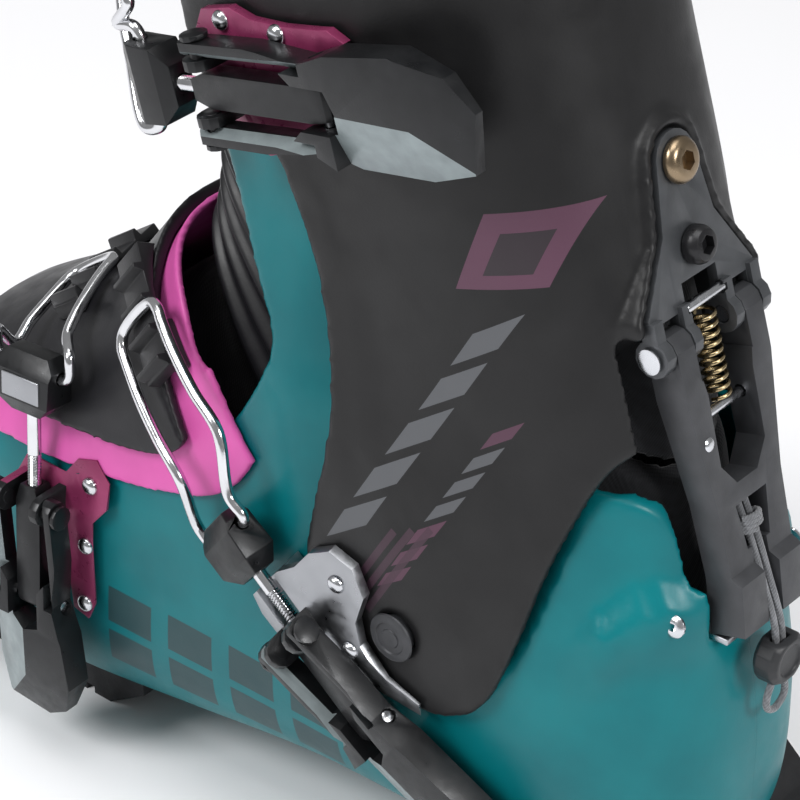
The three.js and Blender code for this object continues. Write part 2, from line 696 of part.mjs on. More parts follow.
function makePivot(side) {
  const face = skinAt(PIVOT.x, PIVOT.z, CUFF_PROUD, side).y * side;
  const [low, under, top] = [face - 9, face + 0.6, face + 1.6];
  const profile = [
    [0, low], [PIVOT.r, low], [PIVOT.r, under], [6.6, under], [6.6, under + 0.4], [5.6, top], [0, top],
  ];
  const g = turned(profile, 16);
  if (side < 0) g.rotateX(180 * DEG);
  g.translate(PIVOT.x, 0, PIVOT.z);
  return toSolid(g);
}

// ---------- buckles ----------
// Each buckle's frame sits on its lever's pivot: x towards the ladder, z out of the boot.
// pivot, tip and block are side-view positions; rise is a height over the body; arm runs from the
// pivot to the bail's pin and length to the lever's end; hook is where the wire ends on the body;
// plate is the base's outline.
const BUCKLES = {
  cuff: {
    pivot: [88, 220], tip: [45, 233], rise: 9, tipRise: 9.5, arm: 38, length: 84,
    block: [103, 212], blockRise: 10, hook: [13.7, 22], envelope: cuffEnvelope,
    plate: [
      [8, 7], [8, -7], [7, -12], [3, -17], [-8, -18.5], [-14, -16], [-24, -15], [-38, -15],
      [-42, -12], [-30, -8], [-50, -4], [-53, 1], [-50, 5], [-30, 6], [-20, 15], [-10, 17.5],
      [-2, 15], [0, 11.5],
    ],
  },
  ankle: {
    pivot: [67, 80], tip: [2, 30], rise: 12, tipRise: 12, arm: 29, length: 80,
    block: [77, 105], blockRise: 10, hook: [8.65, 46], envelope: cuffEnvelope,
    plate: [
      [15, 7], [15, -7], [13, -14], [13, -22], [10, -29], [3, -32], [-4, -29], [-7, -21],
      [-12, -17], [-22, -16], [-32, -19], [-35, -15], [-28, -9], [-16, -5], [-19, 0], [-16, 4],
      [-9.6, 9], [0, 11.5],
    ],
  },
  toe: {
    pivot: [160, 79], tip: [160, 34], rise: 10.4, tipRise: 10.8, arm: 30, length: 68,
    block: [160, 106], blockRise: 13, hook: [6.3, 14], envelope: shellEnvelope,
    plate: [
      [8, 7], [8, -8], [13, -12], [15, -19], [10, -24], [2, -23], [-4, -17.5], [-14, -17],
      [-30, -16], [-36, -13], [-34, -8], [-20, -7], [-30, -4], [-33, 0], [-30, 4], [-18, 9],
      [0, 11.5],
    ],
  },
};
const BASE_FLOOR = 2.5; // thickness of a base's floor over the boot
const BASE_GAP = 0.55; // gap under a base
const LOBE_GAP = 1; // gap between the ankle base and the cuff that slides under it
const WIRE = 1.5; // radius of the buckle wires
const AXIS_PIN = 2; // radius of the pin each lever turns on
const CROSS_PIN = { r: 1.6, z: -0.8 }; // pin in the lever that the bail turns on
const ROD_R = 1.85;
const BASE_TOP = -4.6; // highest level of a base's plate, under the closed lever
const WIRE_JOINT = 4; // how far into the block the wire's ends turn
const LADDER = { pitch: 9, teeth: 4, tail: 20, half: 5.6 };

function buckleFrame(b) {
  const [x, z] = b.pivot;
  const out = outwardAt(x, z).add(outwardAt(...b.tip));
  const pivot = skinAt(x, z, b.rise);
  const tip = skinAt(...b.tip, b.tipRise);
  return new Frame(pivot, pivot.clone().sub(tip), out);
}

// The bail turns on the lever's cross pin and points at the adjuster block.
function bailFrame(b, frame) {
  const pin = frame.point(-b.arm, 0, -0.8);
  const target = skinAt(...b.block, b.blockRise);
  const pull = target.clone().sub(pin);
  pull.addScaledVector(frame.y, -pull.dot(frame.y));
  return { frame: new Frame(pin, pull, frame.z), reach: pull.length() };
}

// What a base stands on. The ankle's stands on the shell and bridges the cuff's lower lobe.
function seatOf(b, frame) {
  if (b !== BUCKLES.ankle) return frame.bring(b.envelope(BASE_GAP).add(lipEnvelope(FIT)));
  const lobe = [[10.5, -7], [40, -7], [40, -40], [-60, -40], [-60, 30], [10.5, 30]];
  const overLobe = planPrism(lobe, -60, 60);
  return frame.bring(shellEnvelope(FIT)).add(keep(frame.bring(cuffEnvelope(LOBE_GAP)), overLobe));
}

// Plate that hugs the boot, with an ear and a pin on each side for the lever.
function makeBase(b, frame, bail) {
  const depth = -b.rise - 14;
  const gap = b === BUCKLES.ankle ? LOBE_GAP : BASE_GAP;
  const over = frame.bring(b.envelope(gap + BASE_FLOOR));
  const floor = keep(planPrism(b.plate, depth, BASE_TOP), over);
  const bailRoom = frame.bring(bail.frame.place(block(-6, bail.reach + 10, -4.9, 4.9, -3.4, 40)));
  const ear = (side) => {
    const middle = side * 6.9;
    return joined(
      block(-4, 4, middle - 1.3, middle + 1.3, depth, 0),
      bar('y', 4, 2.6, 0, middle, 0),
      bar('y', AXIS_PIN, 8, 0, side * 9.4, 0, 10),
      bar('y', 3.4, 1.2, 0, side * 13.3, 0),
    );
  };
  return cut(joined(floor, ear(1), ear(-1)), seatOf(b, frame), bailRoom);
}

// Forked at its pivot; its wide end, bevelled to a point, is pulled to open the buckle.
function makeBuckleLever(b) {
  const { arm, length } = b;
  const [inner, outer] = [8.6, 12.4]; // the fork's prongs
  const window = 5.4; // half width of the room for the sleeve
  const plan = [
    [4.6, inner], [4.6, outer], [-arm * 0.5, 12.6], [-arm + 2, 10.6], [-arm - 8, 14.6],
    [-length * 0.8, 15.4], [-length + 3, 12], [-length, -2], [-length * 0.93, -10],
    [-length * 0.78, -14.6], [-arm - 8, -13.6], [-arm + 2, -10.6], [-arm * 0.5, -12.6],
    [4.6, -outer], [4.6, -inner], [-arm + 9, -inner], [-arm + 5, -window], [-arm - 6, -window],
    [-arm - 8, 0], [-arm - 6, window], [-arm + 5, window], [-arm + 9, inner],
  ];
  const edge = [
    [5, -3.4], [5, 3.2], [-arm * 0.6, 3.4], [-arm - 6, 5.2], [-length * 0.8, 4.6],
    [-length - 1, 0.4], [-length - 1, -1.6], [-length * 0.8, -3], [-arm - 10, -3.2],
  ];
  const solid = keep(planPrism(plan, -20, 20), sidePrism(edge));
  const nose = joined(bar('y', 4.2, 40, 0, 0, 0), block(-200, 0, -20, 20, -20, 20));
  const scoop = [[-arm - 13, -6], [-arm - 13, 6], [-length + 12, 8], [-length + 12, -6]];
  const pivotBore = bar('y', AXIS_PIN + FIT, 60, 0, 0, 0);
  const pinBore = bar('y', CROSS_PIN.r + FIT, 60, -arm, 0, CROSS_PIN.z);
  return cut(keep(solid, nose), pivotBore, pinBore, planPrism(scoop, -20, -0.6));
}

function makeLeverPin(b) {
  return bar('y', CROSS_PIN.r, 20.4, -b.arm, 0, CROSS_PIN.z);
}

// Hangs from the cross pin and takes the threaded rod at its front end.
function makeSleeve(b) {
  const front = b.arm + 4;
  const [half, thick] = [4.3, 2.9];
  const body = block(0, front, -half, half, -thick, thick).add(bar('y', thick, 2 * half, 0, 0, 0));
  const plan = [
    [-4, -3.4], [3, -half], [front - 5, -half], [front, -2.6], [front, 2.6], [front - 5, half],
    [3, half], [-4, 3.4],
  ];
  const pinBore = bar('y', CROSS_PIN.r + FIT, 40, 0, 0, 0);
  const rodBore = bar('x', ROD_R + FIT, 25, front - 10.5, 0, 0);
  return cut(keep(body, planPrism(plan, -9, 9)), pinBore, rodBore);
}

function makeRod(b, reach) {
  const [low, high] = [b.arm - 8, reach - 0.5];
  return bar('x', ROD_R, high - low, (low + high) / 2, 0, 0);
}

// Joins the rod to the wire, whose two ends turn in its sides.
function makeBlock(reach) {
  const [back, front, end] = [reach - 8, reach - 4, reach + 9];
  const plan = [
    [back, -5], [front, -9.4], [reach + 6, -10], [end, -7], [end, 7], [reach + 6, 10],
    [front, 9.4], [back, 5],
  ];
  const side = [
    [back, -3], [front, -4.2], [end, -3.4], [end, 2], [reach + WIRE_JOINT, 4.8], [front, 5], [back, 3.2],
  ];
  const rodBore = bar('x', ROD_R + FIT, 12, reach - 5, 0, 0);
  const wireBore = (at) => bar('y', WIRE + FIT, 8, reach + WIRE_JOINT, at, 0);
  return cut(keep(planPrism(plan, -9, 9), sidePrism(side)), rodBore, wireBore(9), wireBore(-9));
}

// Body coordinates of the middle line from a block (s = 0) to its hook (s = 1).
function spanAt(b, s) {
  const from = skinSearch(...b.block);
  return {
    v: THREE.MathUtils.lerp(from.v, b.hook[0], s),
    t: THREE.MathUtils.lerp(from.t, b.hook[1] * DEG, s),
  };
}

function spanPoint(b, s, off) {
  const { v, t } = spanAt(b, s);
  return skin(v, t, off);
}

function spanNormal(b, s, off) {
  const { v, t } = spanAt(b, s);
  const d = 0.06;
  const along = skin(v + d, t, off).sub(skin(v - d, t, off));
  const round = skin(v, t + d, off).sub(skin(v, t - d, off));
  return new THREE.Vector3().crossVectors(round, along).normalize();
}

function spanFrame(b, s, off) {
  const at = spanPoint(b, s, off);
  const pull = spanPoint(b, s + 0.02, off).sub(spanPoint(b, s - 0.02, off));
  return new Frame(at, pull, spanNormal(b, s, off));
}

// Bent wire from one side of the block, over its ladder's tooth and back to the other side.
function makeWire(b, bail) {
  const inLocal = bail.frame.matrix.clone().invert();
  const bends = [[0, 5.6], [0, 10.8], [1.4, 12.6], [7, 13]]; // x and y from the joint in the block
  const strand = (side) => {
    const start = bends.map(([x, y]) => bail.frame.point(bail.reach + WIRE_JOINT + x, side * y, 0));
    const along = [0.28, 0.46, 0.65, 0.82, 0.93].map((s) => {
      const level = THREE.MathUtils.lerp(b.blockRise, HOOK_RISE, smooth(0, 0.8, s));
      const spread = THREE.MathUtils.lerp(13, 9.4, s);
      return spanFrame(b, s, level + 1.2 * (1 - s)).point(0, side * spread, 0);
    });
    const end = spanFrame(b, 1, HOOK_RISE).point(-0.3, side * 7.2, 0);
    return [...start, ...along, end];
  };
  const points = [...strand(1), ...strand(-1).reverse()].map((p) => p.applyMatrix4(inLocal));
  return rope(points, WIRE, 6, 28);
}

// Toothed rack; the wire's end lies behind its second tooth.
function makeLadder(frame, floor) {
  const { pitch, teeth, tail, half } = LADDER;
  const start = -pitch - 7.4;
  const comb = [[start, -8], [start, 0.4]];
  for (let i = -1; i < teeth - 1; i += 1) {
    const x = i * pitch - 6.8;
    comb.push([x, 0.6], [x + 1, 3.2], [x + 2.2, 3.2], [x + 2.8, 0.6]);
  }
  comb.push([tail, 0.4], [tail, -8]);
  return cut(sidePrism(comb, -half, half), frame.bring(floor));
}

// ---------- assembly ----------
const boot = new THREE.Group();

function add(name, solid, color, roughness = 0.5, metalness = 0, parent = boot) {
  const material = new THREE.MeshStandardMaterial({ color, roughness, metalness });
  const mesh = new THREE.Mesh(toGeometry(solid), material);
  mesh.name = name;
  parent.add(mesh);
  return mesh;
}

function groupAt(frame) {
  const group = new THREE.Group();
  group.applyMatrix4(frame.matrix);
  boot.add(group);
  return group;
}

add('lower_shell', makeShell(), TEAL, 0.38);
add('cuff_shell', makeCuff(), CHARCOAL, 0.42);
add('toe_sole', makeToeSole(), BLACK, 0.7);
add('heel_sole', makeHeelSole(), BLACK, 0.7);
add('toe_insert', makeToeInsert(), STEEL, 0.3, 1);
add('heel_insert', makeHeelInsert(), STEEL, 0.3, 1);
add('boot_board', makeBootBoard(), GREY, 0.8);
add('tongue_lip', makeLip(), PINK, 0.45);
add('tongue_foot', makeTongueFoot(), CHARCOAL, 0.45);
add('tongue_flex', makeTongueFlex(), CHARCOAL, 0.45);
add('tongue_shin', makeTongueShin(), CHARCOAL, 0.45);
add('liner_foot', linerTube(1.3, 10.6, 9, true), FELT, 0.9);
add('liner_ankle', linerTube(10.75, 12.55, 2), FELT, 0.9);
add('liner_cuff', linerTube(12.7, 16.5, 2), FELT, 0.9);
add('power_strap', bodyPatch(15.35, 16.2, 179.4, 3.4, 0.8, 1, 26), BLACK, 0.9);
add('lock_plate', makeLockPlate(), STEEL, 0.3, 1);
add('pivot_outer', makePivot(1), GREY, 0.4, 0.6);
add('pivot_inner', makePivot(-1), GREY, 0.4, 0.6);
add('ledge_screw_outer', surfaceStud(-27, 111, 1, 2.9, 1.8), STEEL, 0.3, 1);
add('ledge_screw_inner', surfaceStud(-27, 111, -1, 2.9, 1.8), STEEL, 0.3, 1);

const walk = groupAt(leverFrame);
add('lever_plate', makePlate(), GREY, 0.4, 0.6, walk);
add('plate_screw_upper', makeScrew(SCREWS[0], 5.4, 3.4), BRASS, 0.35, 1, walk);
add('plate_screw_lower', makeScrew(SCREWS[1], 4.6, 4.4), BLACK, 0.4, 0.6, walk);
add('walk_lever', makeLever(), BLACK, 0.4, 0.4, walk);
add('hinge_pin_outer', makeHingePin(1), STEEL, 0.25, 1, walk);
add('hinge_pin_inner', makeHingePin(-1), STEEL, 0.25, 1, walk);
add('spring_axle', makeSpringAxle(), STEEL, 0.25, 1, walk);
add('lever_crossbar', makeCrossbar(), STEEL, 0.25, 1, walk);
add('lever_spring', makeSpring(), BRASS, 0.3, 1, walk);
add('cord_knot', makeKnot(), GREY, 0.9, 0, walk);
add('pull_cord', makeCord(), GREY, 0.9);
add('cord_toggle', makeToggle(), BLACK, 0.6);

for (const [name, b] of Object.entries(BUCKLES)) {
  const frame = buckleFrame(b);
  const bail = bailFrame(b, frame);
  const group = groupAt(frame);
  const bailGroup = groupAt(bail.frame);
  add(`${name}_base`, makeBase(b, frame, bail), name === 'ankle' ? STEEL : WINE, 0.35, 0.8, group);
  add(`${name}_lever`, makeBuckleLever(b), BLACK, 0.35, 0.5, group);
  add(`${name}_lever_pin`, makeLeverPin(b), STEEL, 0.25, 1, group);
  add(`${name}_sleeve`, makeSleeve(b), BLACK, 0.35, 0.5, bailGroup);
  add(`${name}_rod`, makeRod(b, bail.reach), STEEL, 0.2, 1, bailGroup);
  add(`${name}_block`, makeBlock(bail.reach), BLACK, 0.4, 0.4, bailGroup);
  add(`${name}_wire`, makeWire(b, bail), STEEL, 0.2, 1, bailGroup);
  const floor = name === 'cuff'
    ? shinPatch(SHIN.from, SHIN.to, SHIN.face + FIT, -30, 6)
    : footEnvelope(FIT).add(lipEnvelope(FIT));
  const ladderFrame = spanFrame(b, 1, HOOK_RISE - WIRE - FIT - 0.6);
  add(`${name}_ladder`, makeLadder(ladderFrame, floor), BLACK, 0.45, 0, groupAt(ladderFrame));
}

// The origin goes to the middle of the boot's footprint; the loose cord is left out of that.
const CORD_PIECES = ['pull_cord', 'cord_knot', 'cord_toggle'];
const bounds = new THREE.Box3();
boot.updateMatrixWorld(true);
boot.traverse((piece) => {
  if (piece.isMesh && !CORD_PIECES.includes(piece.name)) bounds.expandByObject(piece, true);
});
const middle = bounds.getCenter(new THREE.Vector3());
boot.position.set(-middle.x, -middle.y, -bounds.min.z);

export default boot;
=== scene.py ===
# Alpine touring ski boot, left foot: the looks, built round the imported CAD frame.
import json
import math

import bmesh
import bpy
import numpy as np
from mathutils import Matrix, Vector

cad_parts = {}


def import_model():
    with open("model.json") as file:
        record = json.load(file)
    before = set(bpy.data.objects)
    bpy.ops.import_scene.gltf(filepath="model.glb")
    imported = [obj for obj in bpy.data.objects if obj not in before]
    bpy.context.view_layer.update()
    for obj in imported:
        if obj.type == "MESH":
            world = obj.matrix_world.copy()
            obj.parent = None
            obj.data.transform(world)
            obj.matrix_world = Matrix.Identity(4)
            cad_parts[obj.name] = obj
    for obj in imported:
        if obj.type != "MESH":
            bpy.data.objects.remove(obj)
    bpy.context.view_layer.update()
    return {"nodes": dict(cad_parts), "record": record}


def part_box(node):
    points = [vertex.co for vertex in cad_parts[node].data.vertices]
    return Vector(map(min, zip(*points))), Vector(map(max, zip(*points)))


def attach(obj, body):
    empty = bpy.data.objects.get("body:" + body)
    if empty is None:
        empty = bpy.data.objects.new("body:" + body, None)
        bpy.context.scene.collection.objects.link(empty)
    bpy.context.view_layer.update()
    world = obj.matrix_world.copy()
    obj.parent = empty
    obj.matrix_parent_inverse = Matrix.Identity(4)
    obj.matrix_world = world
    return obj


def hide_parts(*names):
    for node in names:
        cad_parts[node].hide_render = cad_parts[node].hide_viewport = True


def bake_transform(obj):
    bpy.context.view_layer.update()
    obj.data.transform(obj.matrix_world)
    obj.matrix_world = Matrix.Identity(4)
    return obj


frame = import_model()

MM = 0.001
DEG = math.pi / 180
RECORD = frame["record"]
SLOT_OF = {s["node"]: s["material_slot"] for s in RECORD["subparts"]}
BODY_OF = {n: body for body, nodes in RECORD["behaviour"]["bodies"].items() for n in nodes}

# The toe insert is centred here in the boot's own millimetres; it ties them to the frame.
INSERT_CENTRE = np.array([237.0, 0.0, 12.5])
ORIGIN = (np.array(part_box("toe_insert")).mean(axis=0) / MM) - INSERT_CENTRE


def world(points):
    """Boot millimetres to frame metres."""
    return (np.asarray(points, float) + ORIGIN) * MM


# ---------- the body surface, the same rule as the CAD's ----------
# Places are x, z in the side view, and lengths are millimetres.
PIVOT = (38, 91)
PIVOT_R = 5
MIDLINE = 3.5  # how far the heel and shin's mid plane lies towards the outer side
SHELL_WALL = 3.8
CUFF_WALL = 3.2
CUFF_PROUD = 4.4  # how far the cuff stands out over the shell
UNDERCUT = 4.2  # how far the shell steps in under the cuff
FIT = 0.35  # gap between pieces
FAR = 400  # longer than the boot, for cuts right through
HINGE = (-15.5, 177)  # walk lever's axis
LEVER_FOOT = (-35.5, 106.5)

# top x, top z, bottom x, bottom z, half width outside, inside, fullness of top, of bottom
SECTIONS = np.array([
    [249, 49, 249, 36, 9, 9, 2.2, 2.4],
    [247, 63, 247, 28, 24, 23, 2.2, 2.8],
    [242, 76, 242, 23, 35, 33, 2.2, 3.4],
    [232, 87, 232, 19, 43, 40, 2.2, 4.0],
    [217, 97, 214, 14, 48, 45, 2.2, 4.4],
    [197, 108, 188, 11, 50, 47, 2.2, 4.4],
    [176, 120, 159, 11, 50, 46, 2.2, 4.4],
    [158, 132, 120, 13, 48, 44, 2.3, 4.0],
    [145, 146, 74, 16, 46, 42, 2.4, 3.6],
    [135, 159, 20, 16, 44, 43, 2.5, 3.2],
    [130, 173, -28, 28, 43, 44, 2.6, 2.8],
    [129, 189, -37, 66, 42, 45, 2.6, 2.7],
    [132, 206, -33, 108, 41, 45, 2.6, 2.7],
    [137, 225, -25, 150, 40, 44, 2.6, 2.6],
    [144, 249, -8, 205, 41, 45, 2.6, 2.6],
    [151, 272, 7, 252, 43, 47, 2.6, 2.6],
    [157, 296, 20, 300, 45, 49, 2.6, 2.6],
    [163, 320, 34, 348, 46, 50, 2.6, 2.6],
], float)
LAST = len(SECTIONS) - 1


def smooth(a, b, x):
    s = np.clip((np.asarray(x, float) - a) / (b - a), 0, 1)
    return s * s * (3 - 2 * s)


def lerp(a, b, s):
    return a + (b - a) * s


def section_at(v):
    at = np.clip(v, 0, LAST)
    i = np.minimum(at.astype(int), LAST - 1)
    f = (at - i)[..., None]
    before, start, end, after = (SECTIONS[np.clip(i + k, 0, LAST)] for k in (-1, 0, 1, 2))
    leave = (end - before) / 2
    arrive = (after - start) / 2
    first = (2 * f**3 - 3 * f**2 + 1) * start + (f**3 - 2 * f**2 + f) * leave
    return first + (3 * f**2 - 2 * f**3) * end + (f**3 - f**2) * arrive


def skin(v, t, off=0.0, narrow=1.0):
    """Points of the body: v from toe to cuff top, t from top or front round the outer side."""
    v, t, off, narrow = np.broadcast_arrays(*(np.asarray(a, float) for a in (v, t, off, narrow)))
    tx, tz, bx, bz, outer, inner, full_top, full_bottom = np.moveaxis(section_at(v), -1, 0)
    c = np.cos(t)
    s = np.sin(t)
    full = np.where(c > 0, full_top, full_bottom)
    length = np.hypot(bx - tx, bz - tz)
    along = -np.sign(c) * np.abs(c) ** (2 / full) * (length / 2 + off)
    width = np.where(s > 0, outer, inner) * narrow + off
    nose = np.maximum(1 - v / 4, 0) * off
    x = (tx + bx) / 2 + (bx - tx) / length * along + nose
    y = width * np.sign(s) * np.abs(s) ** (2 / full) + MIDLINE * smooth(7.5, 10.5, v)
    z = (tz + bz) / 2 + (bz - tz) / length * along
    return np.stack([x, y, z], axis=-1)


def cover(v):
    return smooth(10.6, 12.6, v)


def under_cuff(v, t):
    """Offset of the lower shell's outside; it steps in where the cuff sweeps over it."""
    p = skin(v, t)
    edge = lerp(82, 132, smooth(12, -14, p[..., 0]))
    front = smooth(78, 60, p[..., 0])
    return -CUFF_PROUD * cover(v) - UNDERCUT * smooth(6, 13, p[..., 2] - edge) * front


def cuff_off(v):
    return CUFF_PROUD * (1 - cover(v))


# ---------- meshes ----------
def new_object(name, vertices, faces):
    mesh = bpy.data.meshes.new(name)
    mesh.from_pydata([tuple(p) for p in vertices], [], [tuple(int(i) for i in f) for f in faces])
    mesh.update()
    obj = bpy.data.objects.new(name, mesh)
    bpy.context.scene.collection.objects.link(obj)
    return obj


def outward(obj):
    bm = bmesh.new()
    bm.from_mesh(obj.data)
    bmesh.ops.recalc_face_normals(bm, faces=bm.faces)
    bm.to_mesh(obj.data)
    bm.free()
    return obj


def grid_faces(rows, cols, closed, start=0):
    across = cols if closed else cols - 1
    i, j = np.meshgrid(np.arange(rows - 1), np.arange(across), indexing="ij")
    a = start + i * cols + j
    b = start + i * cols + (j + 1) % cols
    return np.stack([a, b, b + cols, a + cols], axis=-1).reshape(-1, 4).tolist()


def tube(name, v0, v1, off, rows=120, cols=140, narrow=1.0):
    """Closed solid of the body between two sections."""
    v, t = np.meshgrid(np.linspace(v0, v1, rows), np.linspace(0, 2 * np.pi, cols, False), indexing="ij")
    points = skin(v, t, off(v, t) if callable(off) else off, narrow(v, t) if callable(narrow) else narrow)
    faces = grid_faces(rows, cols, True)
    ends = [points[0].mean(axis=0), points[-1].mean(axis=0)]
    count = rows * cols
    for k in range(cols):
        faces.append((count, (k + 1) % cols, k))
        faces.append((count + 1, count - cols + k, count - cols + (k + 1) % cols))
    return outward(new_object(name, world(np.vstack([points.reshape(-1, 3), ends])), faces))


def patch(name, v0, v1, half, outer, inner, rows, cols, narrow=1.0, lip=0.0):
    """Plate wrapped over the body; lip pulls its rim in to round it."""
    v, u = np.meshgrid(np.linspace(v0, v1, rows), np.linspace(-1, 1, cols), indexing="ij")
    t = u * half * DEG
    high = outer(v, t) if callable(outer) else np.full_like(v, outer)
    low = inner(v, t) if callable(inner) else np.full_like(v, inner)
    rim = np.zeros_like(v)
    rim[[0, -1], :] = lip
    rim[:, [0, -1]] = lip
    top = skin(v, t, high - rim, narrow)
    bottom = skin(v, t, low + rim, narrow)
    count = rows * cols
    faces = grid_faces(rows, cols, False) + [f[::-1] for f in grid_faces(rows, cols, False, count)]
    border = [k for k in range(cols)] + [r * cols + cols - 1 for r in range(1, rows)]
    border += [(rows - 1) * cols + k for k in range(cols - 2, -1, -1)]
    border += [r * cols for r in range(rows - 2, 0, -1)]
    for a, b in zip(border, border[1:] + border[:1]):
        faces.append((b, a, a + count, b + count))
    points = np.vstack([top.reshape(-1, 3), bottom.reshape(-1, 3)])
    return outward(new_object(name, world(points), faces))


def prism(name, outline, low, high, place):
    """Outline pushed from low to high; place turns (a, b, height) into frame metres."""
    n = len(outline)
    points = [place(a, b, h) for h in (low, high) for a, b in outline]
    faces = [tuple(range(n)), tuple(range(2 * n - 1, n - 1, -1))]
    faces += [(k, k + n, (k + 1) % n + n, (k + 1) % n) for k in range(n)]
    return outward(new_object(name, points, faces))


def side_prism(outline, low=-FAR, high=FAR):
    return prism("side", outline, low, high, lambda x, z, y: world((x, y, z)))


def local_prism(at, outline, low, high):
    """Outline in a local frame's x and y, pushed along its z."""
    return prism("plan", outline, low, high, lambda x, y, z: at.world(x, y, z))


def apply_modifiers(obj):
    graph = bpy.context.evaluated_depsgraph_get()
    graph.update()
    mesh = bpy.data.meshes.new_from_object(obj.evaluated_get(graph))
    old = obj.data
    obj.modifiers.clear()
    obj.data = mesh
    bpy.data.meshes.remove(old)
    return obj


def combine(obj, tool, how):
    mod = obj.modifiers.new("combine", "BOOLEAN")
    mod.operation = how
    mod.solver = "MANIFOLD"
    mod.object = tool
    apply_modifiers(obj)
    bpy.data.objects.remove(tool)
    return obj


def cut(obj, *tools):
    for tool in tools:
        combine(obj, tool, "DIFFERENCE")
    return obj


def keep(obj, *tools):
    for tool in tools:
        combine(obj, tool, "INTERSECT")
    return obj


def moulded(obj, voxel, turns=6):
    """Rounds every edge of a solid as a moulding has it."""
    remesh = obj.modifiers.new("remesh", "REMESH")
    remesh.mode = "VOXEL"
    remesh.voxel_size = voxel * MM * 1
    relax = obj.modifiers.new("relax", "SMOOTH")
    relax.factor = 0.5
    relax.iterations = turns
    apply_modifiers(obj)
    obj.data.shade_smooth()
    return obj


def named(obj, name):
    obj.name = name
    obj.data.name = name
    return obj


def shaded(obj, crease):
    """Smooth shading, with edges over crease degrees kept sharp."""
    obj.data.shade_smooth()
    obj.data.set_sharp_from_angle(angle=crease * DEG)
    return obj


# ---------- local frames ----------
class Local:
    """x along the pull, z out of the boot, y across; in boot millimetres."""

    def __init__(self, origin, pull, out):
        self.origin = np.asarray(origin, float)
        self.x = unit(pull)
        self.y = unit(np.cross(out, self.x))
        self.z = np.cross(self.x, self.y)

    def point(self, x, y, z):
        return self.origin + x * self.x + y * self.y + z * self.z

    def world(self, x, y, z):
        return world(self.point(x, y, z))

    def matrix(self, axis="x", x=0.0, y=0.0, z=0.0):
        """Frame matrix, in metres, whose local z runs along this frame's axis."""
        turn = {"x": (self.y, self.z, self.x), "y": (self.z, self.x, self.y), "z": (self.x, self.y, self.z)}
        m = Matrix.Identity(4)
        for column, direction in enumerate(turn[axis]):
            for row in range(3):
                m[row][column] = direction[row] * MM
        place = self.world(x, y, z)
        for row in range(3):
            m[row][3] = place[row]
        return m


def unit(vector):
    vector = np.asarray(vector, float)
    return vector / np.linalg.norm(vector)


def skin_search(x, z, side=1):
    """Body coordinates of the side's point over side-view position (x, z)."""
    v, t, span_v, span_t = 8.0, 90 * DEG, 8.0, 75 * DEG
    for _ in range(9):
        vs, ts = np.meshgrid(np.linspace(v - span_v, v + span_v, 9), np.linspace(t - span_t, t + span_t, 9))
        p = skin(vs, side * ts)
        miss = np.hypot(p[..., 0] - x, p[..., 2] - z)
        best = np.unravel_index(miss.argmin(), miss.shape)
        v, t = float(vs[best]), float(ts[best])
        span_v /= 2.5
        span_t /= 2.5
    return v, t


def skin_at(x, z, off, side=1):
    v, t = skin_search(x, z, side)
    return skin(v, side * t, off)


def outward_at(x, z, side=1):
    d = 4
    along = skin_at(x + d, z, 0, side) - skin_at(x - d, z, 0, side)
    up = skin_at(x, z + d, 0, side) - skin_at(x, z - d, 0, side)
    return unit(np.cross(up, along) * side)


